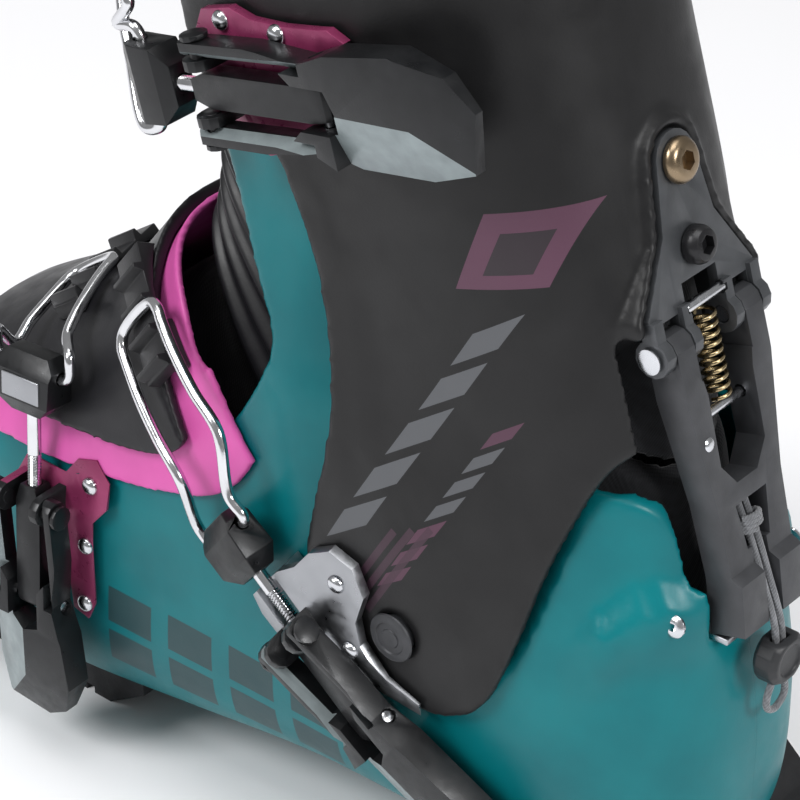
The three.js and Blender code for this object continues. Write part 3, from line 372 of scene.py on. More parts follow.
# ---------- materials ----------
class Shader:
    """One node material, built step by step."""

    def __init__(self, name, color, rough, metallic=0.0, specular=0.5):
        self.material = bpy.data.materials.new(name)
        self.material.use_nodes = True
        self.tree = self.material.node_tree
        self.bsdf = self.tree.nodes["Principled BSDF"]
        self.bsdf.inputs["Base Color"].default_value = (*color, 1)
        self.bsdf.inputs["Roughness"].default_value = rough
        self.bsdf.inputs["Metallic"].default_value = metallic
        self.bsdf.inputs["Specular IOR Level"].default_value = specular
        self.place = self.node("ShaderNodeTexCoord").outputs["Object"]
        self.color = None
        self.height = None

    def node(self, kind, **settings):
        node = self.tree.nodes.new(kind)
        for key, setting in settings.items():
            setattr(node, key, setting)
        return node

    def link(self, source, target):
        self.tree.links.new(source, target)

    def math(self, operation, *values):
        node = self.node("ShaderNodeMath", operation=operation)
        for socket, value in zip(node.inputs, values):
            if isinstance(value, (int, float)):
                socket.default_value = value
            else:
                self.link(value, socket)
        return node.outputs[0]

    def dot(self, direction):
        node = self.node("ShaderNodeVectorMath", operation="DOT_PRODUCT")
        self.link(self.place, node.inputs[0])
        node.inputs[1].default_value = tuple(direction)
        return node.outputs["Value"]

    def noise(self, scale, detail=3.0, stretch=None):
        node = self.node("ShaderNodeTexNoise")
        node.inputs["Scale"].default_value = scale
        node.inputs["Detail"].default_value = detail
        source = self.place
        if stretch:
            mapping = self.node("ShaderNodeMapping")
            mapping.inputs["Scale"].default_value = stretch
            self.link(source, mapping.inputs["Vector"])
            source = mapping.outputs["Vector"]
        self.link(source, node.inputs["Vector"])
        return node.outputs["Fac"]

    def spread(self, value, low, high, start=0.3, end=0.7):
        node = self.node("ShaderNodeMapRange")
        self.link(value, node.inputs["Value"])
        ends = {"From Min": start, "From Max": end, "To Min": low, "To Max": high}
        for key, number in ends.items():
            node.inputs[key].default_value = number
        return node.outputs["Result"]

    def blend(self, factor, first, second):
        """Colour between two colours; each is a tuple or a socket."""
        node = self.node("ShaderNodeMix", data_type="RGBA")
        self.link(factor, node.inputs[0])
        for socket, value in ((node.inputs[6], first), (node.inputs[7], second)):
            if isinstance(value, tuple):
                socket.default_value = (*value, 1)
            else:
                self.link(value, socket)
        return node.outputs[2]

    def mottle(self, dark, light, scale=60.0):
        self.color = self.blend(self.spread(self.noise(scale), 0, 1), dark, light)
        return self

    def uneven_gloss(self, low, high, scale=90.0):
        self.link(self.spread(self.noise(scale, 5), low, high), self.bsdf.inputs["Roughness"])
        return self

    def raise_by(self, value, height):
        """Adds height, in metres, times a value to the surface's bump."""
        step = self.math("MULTIPLY", value, height)
        self.height = step if self.height is None else self.math("ADD", self.height, step)
        return self

    def grain(self, scale, height, detail=4.0, stretch=None):
        return self.raise_by(self.noise(scale, detail, stretch), height)

    def inside(self, corner, first, second):
        """1 on the outer side inside a parallelogram: a corner and its two edges, in the side view."""
        corner, first, second = (np.array(p, float) for p in (corner, first, second))
        area = first[0] * second[1] - first[1] * second[0]
        mask = self.math("GREATER_THAN", self.dot((0, 1, 0)), float(world((0, 20, 0))[1]))
        for run in (np.array([second[1], -second[0]]) / area, np.array([-first[1], first[0]]) / area):
            per_metre = run / MM
            start = float(world((corner[0], 0, corner[1]))[[0, 2]] @ per_metre)
            share = self.math("SUBTRACT", self.dot((per_metre[0], 0, per_metre[1])), start)
            mask = self.math("MULTIPLY", mask, self.math("COMPARE", share, 0.5, 0.5))
        return mask

    def paint(self, mask, color, share=1.0):
        base = self.color or tuple(self.bsdf.inputs["Base Color"].default_value[:3])
        self.color = self.blend(self.math("MULTIPLY", mask, share), base, color)
        return self

    def done(self):
        if self.color is not None:
            self.link(self.color, self.bsdf.inputs["Base Color"])
        if self.height is not None:
            bump = self.node("ShaderNodeBump")
            bump.inputs["Distance"].default_value = 1.0
            bump.inputs["Strength"].default_value = 1.0
            self.link(self.height, bump.inputs["Height"])
            self.link(bump.outputs["Normal"], self.bsdf.inputs["Normal"])
        return self.material


def srgb(r, g, b):
    """Screen colour, 0 to 255, as the shader's linear colour."""
    def one(c):
        c /= 255
        return c / 12.92 if c <= 0.04045 else ((c + 0.055) / 1.055) ** 2.4
    return (one(r), one(g), one(b))


def shell_material():
    s = Shader("teal_plastic", srgb(14, 118, 122), 0.36, specular=0.28)
    s.mottle(srgb(0, 100, 107), srgb(4, 113, 119), 45)
    s.uneven_gloss(0.30, 0.42, 160)
    s.grain(1600, 0.00002)
    for k in range(4):
        for low, high in ((0, 11), (14, 26)):
            corner = (144 - 21 * k - low * 0.1, 31 - 0.5 * k + low)
            s.paint(s.inside(corner, (-15, -1), (-0.1 * (high - low), high - low)), srgb(44, 64, 68), 0.9)
    seam = s.math("COMPARE", s.dot((0, 1, 0)), float(world((0, MIDLINE, 0))[1]), 0.00025)
    behind = s.math("LESS_THAN", s.dot((1, 0, 0)), float(world((-20, 0, 0))[0]))
    s.raise_by(s.math("MULTIPLY", seam, behind), -0.0002)
    return s.done()


def cuff_material():
    s = Shader("cuff_plastic", srgb(34, 34, 36), 0.4, specular=0.32)
    s.mottle(srgb(19, 19, 20), srgb(29, 29, 30), 38)
    s.uneven_gloss(0.36, 0.5, 120)
    s.grain(1400, 0.00003)
    grey = srgb(96, 98, 102)
    wine = srgb(92, 60, 78)
    for k in range(5):
        s.paint(s.inside((47 - 8 * k, 119 + 14.2 * k), (-5.6, 10), (12, -8)), grey, 0.8)
    s.paint(s.inside((26, 188), (-6, 20), (-21, 5)), wine, 0.9)
    s.paint(s.inside((19.5, 193), (-3.4, 11), (-11, 2.6)), srgb(40, 38, 41), 0.9)
    for k in range(7):
        tint = wine if k < 3 or k > 5 else grey
        s.paint(s.inside((36 - 4.2 * k, 108 + 7.6 * k), (-2.8, 5), (7.5, -5)), tint, 0.75)
    for k in range(3):
        s.paint(s.inside((56 - 5 * k, 90 + 2 * k), (-18, 30), (1.6, 1)), srgb(66, 46, 58), 0.8)
    return s.done()


def plastic(name, color, rough=0.45, spread=0.12, grain=1500, height=0.00003):
    s = Shader(name, color, rough, specular=0.32)
    dark = tuple(c * (1 - spread) for c in color)
    light = tuple(min(c * (1 + spread), 1) for c in color)
    s.mottle(dark, light, 70)
    s.uneven_gloss(rough - 0.06, rough + 0.08, 150)
    s.grain(grain, height)
    return s.done()


def metal(name, color, rough=0.3, stretch=(30, 900, 900), height=0.00001, spread=0.1):
    s = Shader(name, color, rough, metallic=1.0)
    s.mottle(tuple(c * (1 - spread) for c in color), color, 200)
    s.uneven_gloss(max(rough - 0.08, 0.05), rough + 0.1, 400)
    s.grain(1, height, 3, stretch)
    return s.done()


def coated(name, color, rough=0.35, spread=0.15):
    """Anodised or painted metal."""
    s = Shader(name, color, rough, metallic=0.35)
    s.mottle(tuple(c * (1 - spread) for c in color), tuple(c * (1 + spread) for c in color), 160)
    s.uneven_gloss(rough - 0.06, rough + 0.1, 300)
    s.grain(2200, 0.00002)
    return s.done()


def woven(name, color, thread=0.9, lift=0.00012, rough=0.85, sheen=0.35):
    """Cloth whose threads are thread millimetres wide."""
    s = Shader(name, color, rough, specular=0.25)
    s.bsdf.inputs["Sheen Weight"].default_value = sheen
    s.bsdf.inputs["Sheen Roughness"].default_value = 0.5
    waves = []
    for direction in ((1, 0.15, 0.25), (-0.1, 0.9, 1)):
        phase = s.math("MULTIPLY", s.dot(Vector(direction).normalized()), 2 * math.pi / (2 * thread * MM))
        waves.append(s.math("SINE", phase))
    weave = s.math("MULTIPLY", *waves)
    s.mottle(tuple(c * 0.8 for c in color), tuple(min(c * 1.2, 1) for c in color), 140)
    # painted shade: the threads are darkened where the weave dips, in step with its bump
    s.color = s.blend(s.spread(weave, 0, 1, -1, 1), tuple(c * 0.55 for c in color), s.color)
    s.raise_by(weave, lift)
    s.grain(2600, 0.00004)
    return s.done()


def rubber(name, color):
    s = Shader(name, color, 0.75, specular=0.35)
    s.mottle(tuple(c * 0.8 for c in color), tuple(c * 1.25 for c in color), 90)
    s.uneven_gloss(0.62, 0.86, 220)
    s.grain(1100, 0.00009, 6)
    return s.done()


MATERIALS = {
    "shell_plastic": shell_material(),
    "cuff_plastic": cuff_material(),
    "tongue_plastic": plastic("tongue_plastic", srgb(28, 28, 31), 0.38),
    "lip_plastic": plastic("lip_plastic", srgb(212, 92, 168), 0.36, 0.06),
    "sole_rubber": rubber("sole_rubber", srgb(34, 34, 36)),
    "insert_steel": metal("insert_steel", srgb(190, 192, 196), 0.32),
    "board_foam": plastic("board_foam", srgb(92, 92, 94), 0.8, 0.2, 700, 0.0001),
    "liner_foam": woven("liner_cloth", srgb(30, 31, 34), 0.45, 0.00005, 0.85, 0.12),
    "strap_webbing": woven("strap_webbing", srgb(26, 26, 28), 0.8, 0.00014, 0.85, 0.15),
    "buckle_metal": coated("buckle_black", srgb(26, 27, 29), 0.33),
    "base_wine": coated("base_wine", srgb(140, 52, 92), 0.3),
    "base_silver": metal("base_silver", srgb(168, 170, 174), 0.34, (200, 900, 900)),
    "wire_steel": metal("wire_steel", srgb(226, 227, 230), 0.16),
    "pin_steel": metal("pin_steel", srgb(214, 216, 220), 0.2),
    "ladder_plastic": plastic("ladder_plastic", srgb(36, 36, 38), 0.36),
    "plate_metal": coated("plate_grey", srgb(74, 76, 79), 0.36),
    "lever_metal": coated("lever_grey", srgb(66, 67, 70), 0.36),
    "screw_bronze": metal("screw_bronze", srgb(150, 132, 108), 0.3),
    "screw_black": coated("screw_black", srgb(34, 34, 36), 0.3),
    "spring_brass": metal("spring_brass", srgb(178, 160, 124), 0.24),
    "pivot_grey": coated("pivot_grey", srgb(60, 61, 64), 0.4),
    "cord_grey": woven("cord_braid", srgb(128, 130, 134), 0.5, 0.00008, 0.7),
    "toggle_plastic": plastic("toggle_plastic", srgb(44, 45, 47), 0.4),
}
LEVER_FACET = coated("lever_facet", srgb(134, 144, 146), 0.34)


def dress(obj, slot):
    obj.data.materials.clear()
    obj.data.materials.append(MATERIALS[slot])
    return obj


def stands_for(obj, *nodes, body=None, slot=None):
    """Gives a new piece the body, slot and material of the CAD nodes it replaces."""
    slot = slot or SLOT_OF[nodes[0]]
    dress(obj, slot)
    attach(obj, body or BODY_OF[nodes[0]])
    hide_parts(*nodes)
    return obj


def bends_for(obj, node, bodies, start, end):
    """Gives a piece between two bodies the material of the CAD node it replaces, and hides that node; it is
    attached to no body.
    """
    dress(obj, SLOT_OF[node])
    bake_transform(obj)
    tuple(start)
    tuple(end)
    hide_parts(node)
    return obj


def add_piece(obj, body, slot):
    """Gives an extra piece, one that no CAD node stands for, its body and material."""
    dress(obj, slot)
    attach(obj, body)
    return obj


# ---------- camera, light and floor ----------
def make_camera():
    """Behind the boot's outer side, looking down on it."""
    azimuth = 221.33 * DEG
    elevation = 32.16 * DEG
    roll = -0.77 * DEG
    distance = 705.3
    target = np.array([55.4, 27.2, 140.0])
    level = math.cos(elevation)
    back = np.array([math.sin(azimuth) * level, -math.cos(azimuth) * level, math.sin(elevation)])
    right = unit(np.cross(-back, (0, 0, 1)))
    up = np.cross(right, -back)
    right, up = right * math.cos(roll) + up * math.sin(roll), up * math.cos(roll) - right * math.sin(roll)
    data = bpy.data.cameras.new("camera")
    data.sensor_width = 36
    data.lens = 131.9
    data.clip_start = 0.01
    data.clip_end = 20
    camera = bpy.data.objects.new("camera", data)
    bpy.context.scene.collection.objects.link(camera)
    place = world(target + distance * back)
    rows = [[right[k], up[k], back[k], place[k]] for k in range(3)]
    camera.matrix_world = Matrix(rows + [[0, 0, 0, 1]])
    bpy.context.scene.camera = camera


def area_light(name, place, size, power):
    aim = Vector((0, 0, 0.15))
    data = bpy.data.lights.new(name, "AREA")
    data.size = size
    data.energy = power
    light = bpy.data.objects.new(name, data)
    light.location = place
    light.rotation_euler = (aim - Vector(place)).to_track_quat("-Z", "Y").to_euler()
    bpy.context.scene.collection.objects.link(light)


def make_stage():
    half = 6
    corners = [(-half, -half, 0), (half, -half, 0), (half, half, 0), (-half, half, 0)]
    floor = new_object("floor", corners, [(0, 1, 2, 3)])
    s = Shader("floor", srgb(238, 238, 240), 0.9, specular=0.1)
    s.mottle(srgb(236, 236, 238), srgb(239, 239, 241), 3)
    floor.data.materials.append(s.done())
    world_data = bpy.data.worlds.new("studio")
    bpy.context.scene.world = world_data
    world_data.use_nodes = True
    background = world_data.node_tree.nodes["Background"]
    background.inputs["Color"].default_value = (1.0, 1.0, 1.0, 1)
    background.inputs["Strength"].default_value = 0.28
    area_light("key", (0.7, 1.5, 1.6), 0.9, 31)
    area_light("rear", (-1.5, 0.1, 1.1), 0.5, 15)
    area_light("top", (-0.1, 0.1, 2.1), 1.4, 22)
    bpy.context.scene.view_settings.view_transform = "Standard"


# ---------- shell and cuff ----------
SHELL_SIDE = [
    (270, -5), (270, 90), (225, 101), (209, 97), (190, 99), (152, 103), (114, 110), (99, 121), (88, 138),
    (82, 152), (90, 167), (99, 185), (108, 199), (105, 213), (92, 216), (77, 204), (66, 182), (57, 158),
    (40, 142), (14, 138), (-8, 142), (-18, 139), (-23, 129), (-26, 117), (-60, 117), (-60, -5),
]
NOTCH_SIDE = [(-70, 117), (-8, 117), (6, 180), (-70, 180)]  # opening behind the walk lever
NOTCH_HALF = 16
FOOT_ROOM = {"top": 118, "half": 13.6}  # narrower part of the notch, round the lever's foot
CHEEK = 4.2  # how far the cheeks beside the foot stand out
FLAP_SUNK = 1.2  # how far the front flaps sink in, so that the leaning cuff clears them
SHELF = {"top": 103, "bottom": 93, "front": -27, "half": 24}  # ledge that the walk lever stands on
CUFF_SIDE = [
    (12, 80), (22, 72), (42, 70), (59, 79), (68, 98), (64, 117), (59, 139), (61, 161), (69, 187), (78, 204),
    (86, 208), (110, 212), (114, 250), (100, 268), (30, 292), (-8, 306), (-60, 306), (-60, 151), (-24, 152),
    (-12, 155), (-1, 125), (5, 99),
]


def curved(outline, round_from, turns=3):
    """Side-view outline with the corners from round_from on rounded by cutting them."""
    points = [np.array(p, float) for p in outline]
    for _ in range(turns):
        new = []
        for k, p in enumerate(points):
            q = points[(k + 1) % len(points)]
            if round_from(p) and round_from(q) and np.hypot(*(q - p)) > 2:
                new += [p * 0.75 + q * 0.25, p * 0.25 + q * 0.75]
            else:
                new.append(p)
        points = new
    return [tuple(p) for p in points]


def box_between(low, high):
    (x0, y0, z0), (x1, y1, z1) = low, high
    return side_prism([(x0, z0), (x1, z0), (x1, z1), (x0, z1)], y0, y1)


def disc_tool(radius, length, local, x=0.0, axis="y"):
    """Round bar to cut with, centred at x in a local frame."""
    return lathe("disc", [(radius, -length / 2), (radius, length / 2)], local.matrix(axis, x))


def lathe(name, profile, matrix, segments=48):
    """Turned solid; profile is (radius, height) in millimetres along the matrix's z."""
    angles = np.linspace(0, 2 * np.pi, segments, False)
    points = [(r * math.cos(a), r * math.sin(a), h) for r, h in profile for a in angles]
    faces = grid_faces(len(profile), segments, True)
    faces.append(tuple(range(segments))[::-1])
    faces.append(tuple(range(len(points) - segments, len(points))))
    obj = new_object(name, points, faces)
    obj.data.transform(matrix)
    outward(obj)
    obj.data.set_sharp_from_angle(angle=35 * DEG)
    return obj


PIVOT_FRAME = Local((PIVOT[0], 0, PIVOT[1]), (1, 0, 0), (0, 0, 1))  # across the boot at its pivots


def shell_detail(v, t):
    """Outside of the lower shell with its heel ledge and the flutes over the toes."""
    p = skin(v, t)
    flute = 0.5 * smooth(2.5, 4, v) * smooth(7, 5.5, v) * np.cos((p[..., 2] - 64) / 3.2)
    flute = flute * smooth(52, 58, p[..., 2]) * smooth(86, 74, p[..., 2])
    sunk = FLAP_SUNK * smooth(140, 154, p[..., 2]) * smooth(50, 62, p[..., 0])
    return under_cuff(v, t) + np.minimum(flute, 0) + heel_cheek(p) - sunk


def heel_cheek(p):
    """Raised cheek on each side of the lever's foot, with a crest that climbs towards the back."""
    x, y, z = p[..., 0], p[..., 1], p[..., 2]
    crest = np.interp(x, [-30, -20.5, -11.9, -6.5], [117.4, 116.4, 109.3, 101.8])
    height = smooth(crest + 0.8, crest - 1.2, z) * smooth(crest - 24, crest - 4, z)
    return CHEEK * height * smooth(-4, -16, x) * smooth(9, 13.5, np.abs(y - MIDLINE))


def make_shell():
    shell = tube("shell_outer", 0, 14.4, shell_detail, 150, 170)
    inside = tube("shell_inner", 0.5, 15.4, lambda v, t: under_cuff(v, t) - SHELL_WALL, 90, 110)
    half, top = SHELF["half"], SHELF["top"]
    shelf = box_between((-60, -half, SHELF["bottom"]), (SHELF["front"], half + MIDLINE, top))
    keep(shelf, tube("shell_outer_again", 0, 14.4, under_cuff, 90, 110))
    cut(shell, inside)
    keep(shell, side_prism(curved(SHELL_SIDE, lambda p: p[0] < 225 and p[1] > 90)))
    combine(shell, shelf, "UNION")
    room = FOOT_ROOM["half"]
    foot_room = box_between((-70, MIDLINE - room, top), (-8, MIDLINE + room, FOOT_ROOM["top"]))
    notch = side_prism(NOTCH_SIDE, MIDLINE - NOTCH_HALF, MIDLINE + NOTCH_HALF)
    cut(shell, notch, foot_room, disc_tool(PIVOT_R + FIT, FAR, PIVOT_FRAME))
    moulded(named(shell, "teal_shell"), 0.95, 8)
    stands_for(shell, "lower_shell")


# ---------- walk mechanism's frame ----------
LEVER_RUN = (HINGE[0] - LEVER_FOOT[0], 0, HINGE[1] - LEVER_FOOT[1])
LEVER = Local((HINGE[0], MIDLINE, HINGE[1]), LEVER_RUN, (-1, 0, 0))
PLATE = {"top": 40, "top_r": 7, "half": 19.6, "foot": -2, "back": -1.6, "face": 1.2}
SCREWS = (40, 20)
SCREW_HOLE = 3
RELIEF = 0.6  # depth of the cuff's creases
RELIEF_BACKING = 0.7  # thickness added inside the cuff behind them
SPRING_AXLE = {"x": 7, "z": 1.2, "r": 1.3}
CROSSBAR = {"x": -20, "z": -0.6, "r": 1.3}


def plate_outline(grow):
    r = PLATE["top_r"] + grow
    arc = np.linspace(20, 160, 19) * DEG
    top = [(PLATE["top"] + r * math.sin(a), -r * math.cos(a)) for a in arc]
    low, half = PLATE["foot"] - grow, PLATE["half"] + grow
    return [(low, half), (low, -half), (9, -half), (25, -9.5 - grow)] + top + [(25, 9.5 + grow), (9, half)]


def cuff_detail(v, t):
    """Outside of the cuff: a soft crease down its side and a raised band along its front edge."""
    p = skin(v, t)
    x, z = p[..., 0], p[..., 2]
    crease_x = np.interp(z, [100, 126, 165, 200, 233, 262], [70, 30, 4, -7, -6, -4])
    crease = -RELIEF * smooth(9, 0, np.abs(x - crease_x)) * smooth(112, 132, z) * smooth(262, 240, z)
    edge_x = np.interp(z, [98, 117, 139, 161, 187, 204], [68, 64, 59, 61, 69, 78])
    band = RELIEF * smooth(edge_x - 11, edge_x - 8.5, x) * smooth(92, 104, z) * smooth(206, 198, z)
    sides = np.abs(p[..., 1]) > 20
    return cuff_off(v) + np.minimum((crease + band) * sides - RELIEF, 0)


def make_cuff():
    cuff = tube("cuff_outer", 8.4, 16.4, cuff_detail, 170, 190)
    seat = local_prism(LEVER, plate_outline(3.4), -14, PLATE["face"] - 0.2)
    pocket = local_prism(LEVER, plate_outline(0.8), PLATE["back"] - FIT, 30)
    under = local_prism(LEVER, [(-30, -23), (5.4, -23), (5.4, 23), (-30, 23)], -30, 30)
    combine(cuff, seat, "UNION")
    cut(cuff, tube("cuff_inner", 8, 16.9, lambda v, t: cuff_off(v) - CUFF_WALL - RELIEF_BACKING, 90, 110))
    keep(cuff, side_prism(curved(CUFF_SIDE, lambda p: p[1] < 300)))
    cut(cuff, pocket, under, disc_tool(PIVOT_R + FIT, FAR, PIVOT_FRAME))
    for x in SCREWS:
        cut(cuff, disc_tool(SCREW_HOLE, 30, LEVER, x, "z"))
    moulded(named(cuff, "cuff"), 1.0)
    stands_for(cuff, "cuff_shell")


# ---------- small hard pieces ----------
def copy_of(node, name):
    """A separate copy of a CAD node's mesh, its seams closed and flat faces joined."""
    obj = bpy.data.objects.new(name, frame["nodes"][node].data.copy())
    bpy.context.scene.collection.objects.link(obj)
    bm = bmesh.new()
    bm.from_mesh(obj.data)
    bmesh.ops.remove_doubles(bm, verts=bm.verts, dist=0.00002)
    bmesh.ops.dissolve_limit(bm, angle_limit=1.5 * DEG, verts=bm.verts, edges=bm.edges)
    bm.to_mesh(obj.data)
    bm.free()
    obj.data.shade_flat()
    return obj


def round_edges(obj, width, segments=2):
    bevel = obj.modifiers.new("bevel", "BEVEL")
    bevel.width = width * MM
    bevel.segments = segments
    bevel.limit_method = "ANGLE"
    bevel.angle_limit = 24 * DEG
    bevel.use_clamp_overlap = True
    apply_modifiers(obj)
    return shaded(obj, 38)


def rounded(node, name, width=0.5, segments=2):
    """Stand-in with the CAD node's own shape and its edges rounded."""
    return stands_for(round_edges(copy_of(node, name), width, segments), node)


def turned(name, node, profile, matrix, segments=48, hexagon=None):
    """Turned stand-in of a CAD node, with a hexagonal socket (radius, top height, depth) if given."""
    obj = lathe(name, profile, matrix, segments)
    if hexagon:
        r, top, depth = hexagon
        points = [(r, top - depth), (r, top + 1)]
        cut(obj, lathe("socket", points, matrix, 6))
        obj.data.set_sharp_from_angle(angle=35 * DEG)
    return stands_for(obj, node)


def soft_disc(r, low, high, rim=0.4):
    """Profile of a pin or head with rounded rims."""
    return [
        (r - rim, low), (r - 0.3 * rim, low + 0.3 * rim), (r, low + rim), (r, high - rim),
        (r - 0.3 * rim, high - 0.3 * rim), (r - rim, high),
    ]


def catmull(points, per=12):
    """Smooth run through the points."""
    p = np.asarray(points, float)
    p = np.vstack([2 * p[0] - p[1], p, 2 * p[-1] - p[-2]])
    knots = np.concatenate([[0], np.cumsum(np.linalg.norm(np.diff(p, axis=0), axis=1) ** 0.5)])
    run = []
    for i in range(1, len(p) - 2):
        t = np.linspace(knots[i], knots[i + 1], per, endpoint=False)[:, None]
        t0, t1, t2, t3 = knots[i - 1:i + 3]
        a1 = (t1 - t) / (t1 - t0) * p[i - 1] + (t - t0) / (t1 - t0) * p[i]
        a2 = (t2 - t) / (t2 - t1) * p[i] + (t - t1) / (t2 - t1) * p[i + 1]
        a3 = (t3 - t) / (t3 - t2) * p[i + 1] + (t - t2) / (t3 - t2) * p[i + 2]
        b1 = (t2 - t) / (t2 - t0) * a1 + (t - t0) / (t2 - t0) * a2
        b2 = (t3 - t) / (t3 - t1) * a2 + (t - t1) / (t3 - t1) * a3
        run.append((t2 - t) / (t2 - t1) * b1 + (t - t1) / (t2 - t1) * b2)
    run.append(p[-2][None])
    return np.vstack(run)


def rope(name, run, radius, sides=16):
    """Round tube along a run of points in boot millimetres, capped at both ends."""
    run = np.asarray(run, float)
    tangent = np.gradient(run, axis=0)
    tangent /= np.linalg.norm(tangent, axis=1)[:, None]
    side = np.cross(tangent[0], (0.3, 0.5, 0.8))
    rings = []
    for p, d in zip(run, tangent):
        side = unit(side - d * side.dot(d))
        other = np.cross(d, side)
        a = np.linspace(0, 2 * np.pi, sides, False)[:, None]
        rings.append(p + radius * (np.cos(a) * side + np.sin(a) * other))
    faces = grid_faces(len(run), sides, True)
    faces.append(tuple(range(sides))[::-1])
    faces.append(tuple(range(len(run) * sides - sides, len(run) * sides)))
    obj = outward(new_object(name, world(np.vstack(rings)), faces))
    return shaded(obj, 60)


# ---------- pull cord ----------
CORD_R = 0.9
# the outer strand from the lever's window down to the loop: x, half the strands' spacing, z
STRAND = [
    (-27.5, 1.25, 136.2), (-28.8, 1.25, 133.5), (-30.5, 1.25, 130.3), (-32.3, 1.25, 126.7),
    (-34.2, 1.25, 122), (-36.4, 1.25, 116.4), (-38.6, 1.25, 110.8), (-40.2, 1.25, 106.2),
    (-41, 1.25, 101.5), (-41.2, 1.25, 96.6), (-41.2, 1.4, 92), (-41.2, 2.5, 89), (-41.2, 3.7, 86),
    (-41.2, 3.3, 82.8),
]
LOOP_FOOT = (-41.2, 0, 81)
TOGGLE = {"x": -41.2, "z": 96.6, "r": 7, "half": 3.5, "cut": 5.4}


def make_cord():
    outer = [(x, MIDLINE + y, z) for x, y, z in STRAND]
    inner = [(x, MIDLINE - y, z) for x, y, z in STRAND]
    run = catmull(outer + [(LOOP_FOOT[0], MIDLINE, LOOP_FOOT[2])] + inner[::-1], 8)
    obj = stands_for(rope("pull_cord_braid", run, CORD_R, 16), "pull_cord")
    angle = np.linspace(0, 3.2 * 2 * np.pi, 90)
    climb = 3.4 / angle[-1]
    turns = [LEVER.point(-50.5 + climb * a, 3.3 * math.sin(a), 1.9 + 2.0 * math.cos(a)) for a in angle]
    knot = stands_for(rope("cord_knot_turns", turns, 0.75, 12), "cord_knot")
    toggle = make_toggle()
    start = world(run[0])
    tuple(start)


def make_toggle():
    """Faceted disc with stepped rims that both strands run through."""
    at = Local((TOGGLE["x"], MIDLINE, TOGGLE["z"]), (0, 0, 1), (-1, 0, 0))
    r, half, flat = TOGGLE["r"], TOGGLE["half"], TOGGLE["cut"]
    profile = [(4.4, -half), (5.6, -half), (r, -half + 1.3), (r, half - 1.3), (5.6, half), (4.4, half)]
    profile.append((4.0, half - 0.7))
    disc = lathe("disc", profile, at.matrix("z"), 16)
    keep(disc, local_prism(at, [(-flat, -9), (flat, -9), (flat, 9), (-flat, 9)], -9, 9))
    cut(disc, local_prism(at, [(-9, -2.7), (9, -2.7), (9, 2.7), (-9, 2.7)], -1.3, 1.3))
    moulded(named(disc, "toggle"), 0.35, 3)
    return stands_for(disc, "cord_toggle")


# ---------- tongue ----------
TONGUE = 3.2  # thickness
LIP_OFF = 2.3  # how far the pink lip lies outside the body's surface
LIP_SIDE = [
    (227, 60), (227, 120), (160, 172), (137, 160), (120, 150), (108, 134), (98, 141), (88, 149),
    (81, 141), (84, 122), (97, 103), (122, 95), (150, 91), (190, 88), (213, 86), (221, 60),
]
FOOT_SIDE = [
    (219, 90), (219, 130), (160, 175), (134, 163), (118, 150), (106, 131), (109, 113), (122, 107),
    (150, 103), (190, 99), (210, 98),
]
SHIN = {"half": 70, "narrow": 0.61, "face": 0.3}


def lip_envelope(grow):
    return tube("lip_envelope", 2.4, 9.5, LIP_OFF + grow, 60, 120)


def make_lip():
    lip = lip_envelope(0)
    cut(lip, tube("shell_envelope", 0, 14.4, lambda v, t: under_cuff(v, t) + FIT, 90, 120))
    keep(lip, side_prism(curved(LIP_SIDE, lambda p: p[0] < 215 and p[1] > 80, 2)))
    keep(lip, box_between((0, -FAR, 84), (FAR, FAR, FAR)))
    moulded(named(lip, "pink_lip"), 0.7, 8)
    stands_for(lip, "tongue_lip")


def make_tongue_foot():
    crown = lambda v, t: 2.4 + TONGUE + 0.8 * np.maximum(np.cos(t), 0) ** 6
    foot = tube("tongue_foot_outer", 3, 9, crown, 80, 140)
    cut(foot, lip_envelope(FIT))
    keep(foot, side_prism(curved(FOOT_SIDE, lambda p: True, 2)), tube("reach", 3.2, 8.7, 20, 12, 60))
    moulded(named(foot, "tongue_toe_plate"), 0.7, 7)
    stands_for(foot, "tongue_foot")


def make_tongue_flex():
    """The bellows: waves across the tongue that open and close as the cuff leans."""
    top = lambda v, t: SHIN["face"] - 1.8 + 1.1 * np.cos(v * 2 * np.pi / 0.46)
    under = lambda v, t: top(v, t) - TONGUE
    flex = patch("tongue_bellows", 8.95, 11.2, SHIN["half"], top, under, 130, 60, SHIN["narrow"], 0.5)
    flex.data.shade_smooth()
    start, end = world((105, MIDLINE, 150)), world((122, MIDLINE, 222))
    bends_for(flex, "tongue_flex", ("shell", "cuff"), start, end)


def make_tongue_shin():
    """Shin plate with a stepped-down border along each side."""
    face, half = SHIN["face"], SHIN["half"]
    panel = lambda v, t: face - 0.7 * smooth(0.75, 0.82, np.abs(t) / (half * DEG))
    back = face - TONGUE
    shin = patch("tongue_shin_plate", 11.28, 16.6, half, panel, back, 110, 90, SHIN["narrow"], 0.6)
    stands_for(shaded(shin, 60), "tongue_shin")


# ---------- liner and strap ----------
LINER = 7  # thickness
UNDER_TONGUE = 7.6  # how deep the liner lies under the tongue


def front_of(v, t):
    from_front = np.minimum(t, 2 * np.pi - t) / DEG
    return smooth(104, 80, from_front) * smooth(7.2, 8.2, v)


def liner_off(v, t):
    over_board = 9.5 * smooth(0, 0.3, -np.cos(t)) * smooth(10.6, 9.2, v)
    walls = SHELL_WALL + 1.6 + (CUFF_PROUD + UNDERCUT) * smooth(9.4, 10.8, v)
    return -lerp(walls, UNDER_TONGUE, front_of(v, t)) - over_board


def liner_narrow(v, t):
    return lerp(1, SHIN["narrow"], front_of(v, t))


def quilt(v, t):
    """Padding between stitched rows."""
    rows = np.abs(np.sin(v * np.pi / 0.42))
    cols = np.abs(np.sin(t * 9))
    return 1.0 * (np.minimum(rows, cols) ** 0.5 - 1)


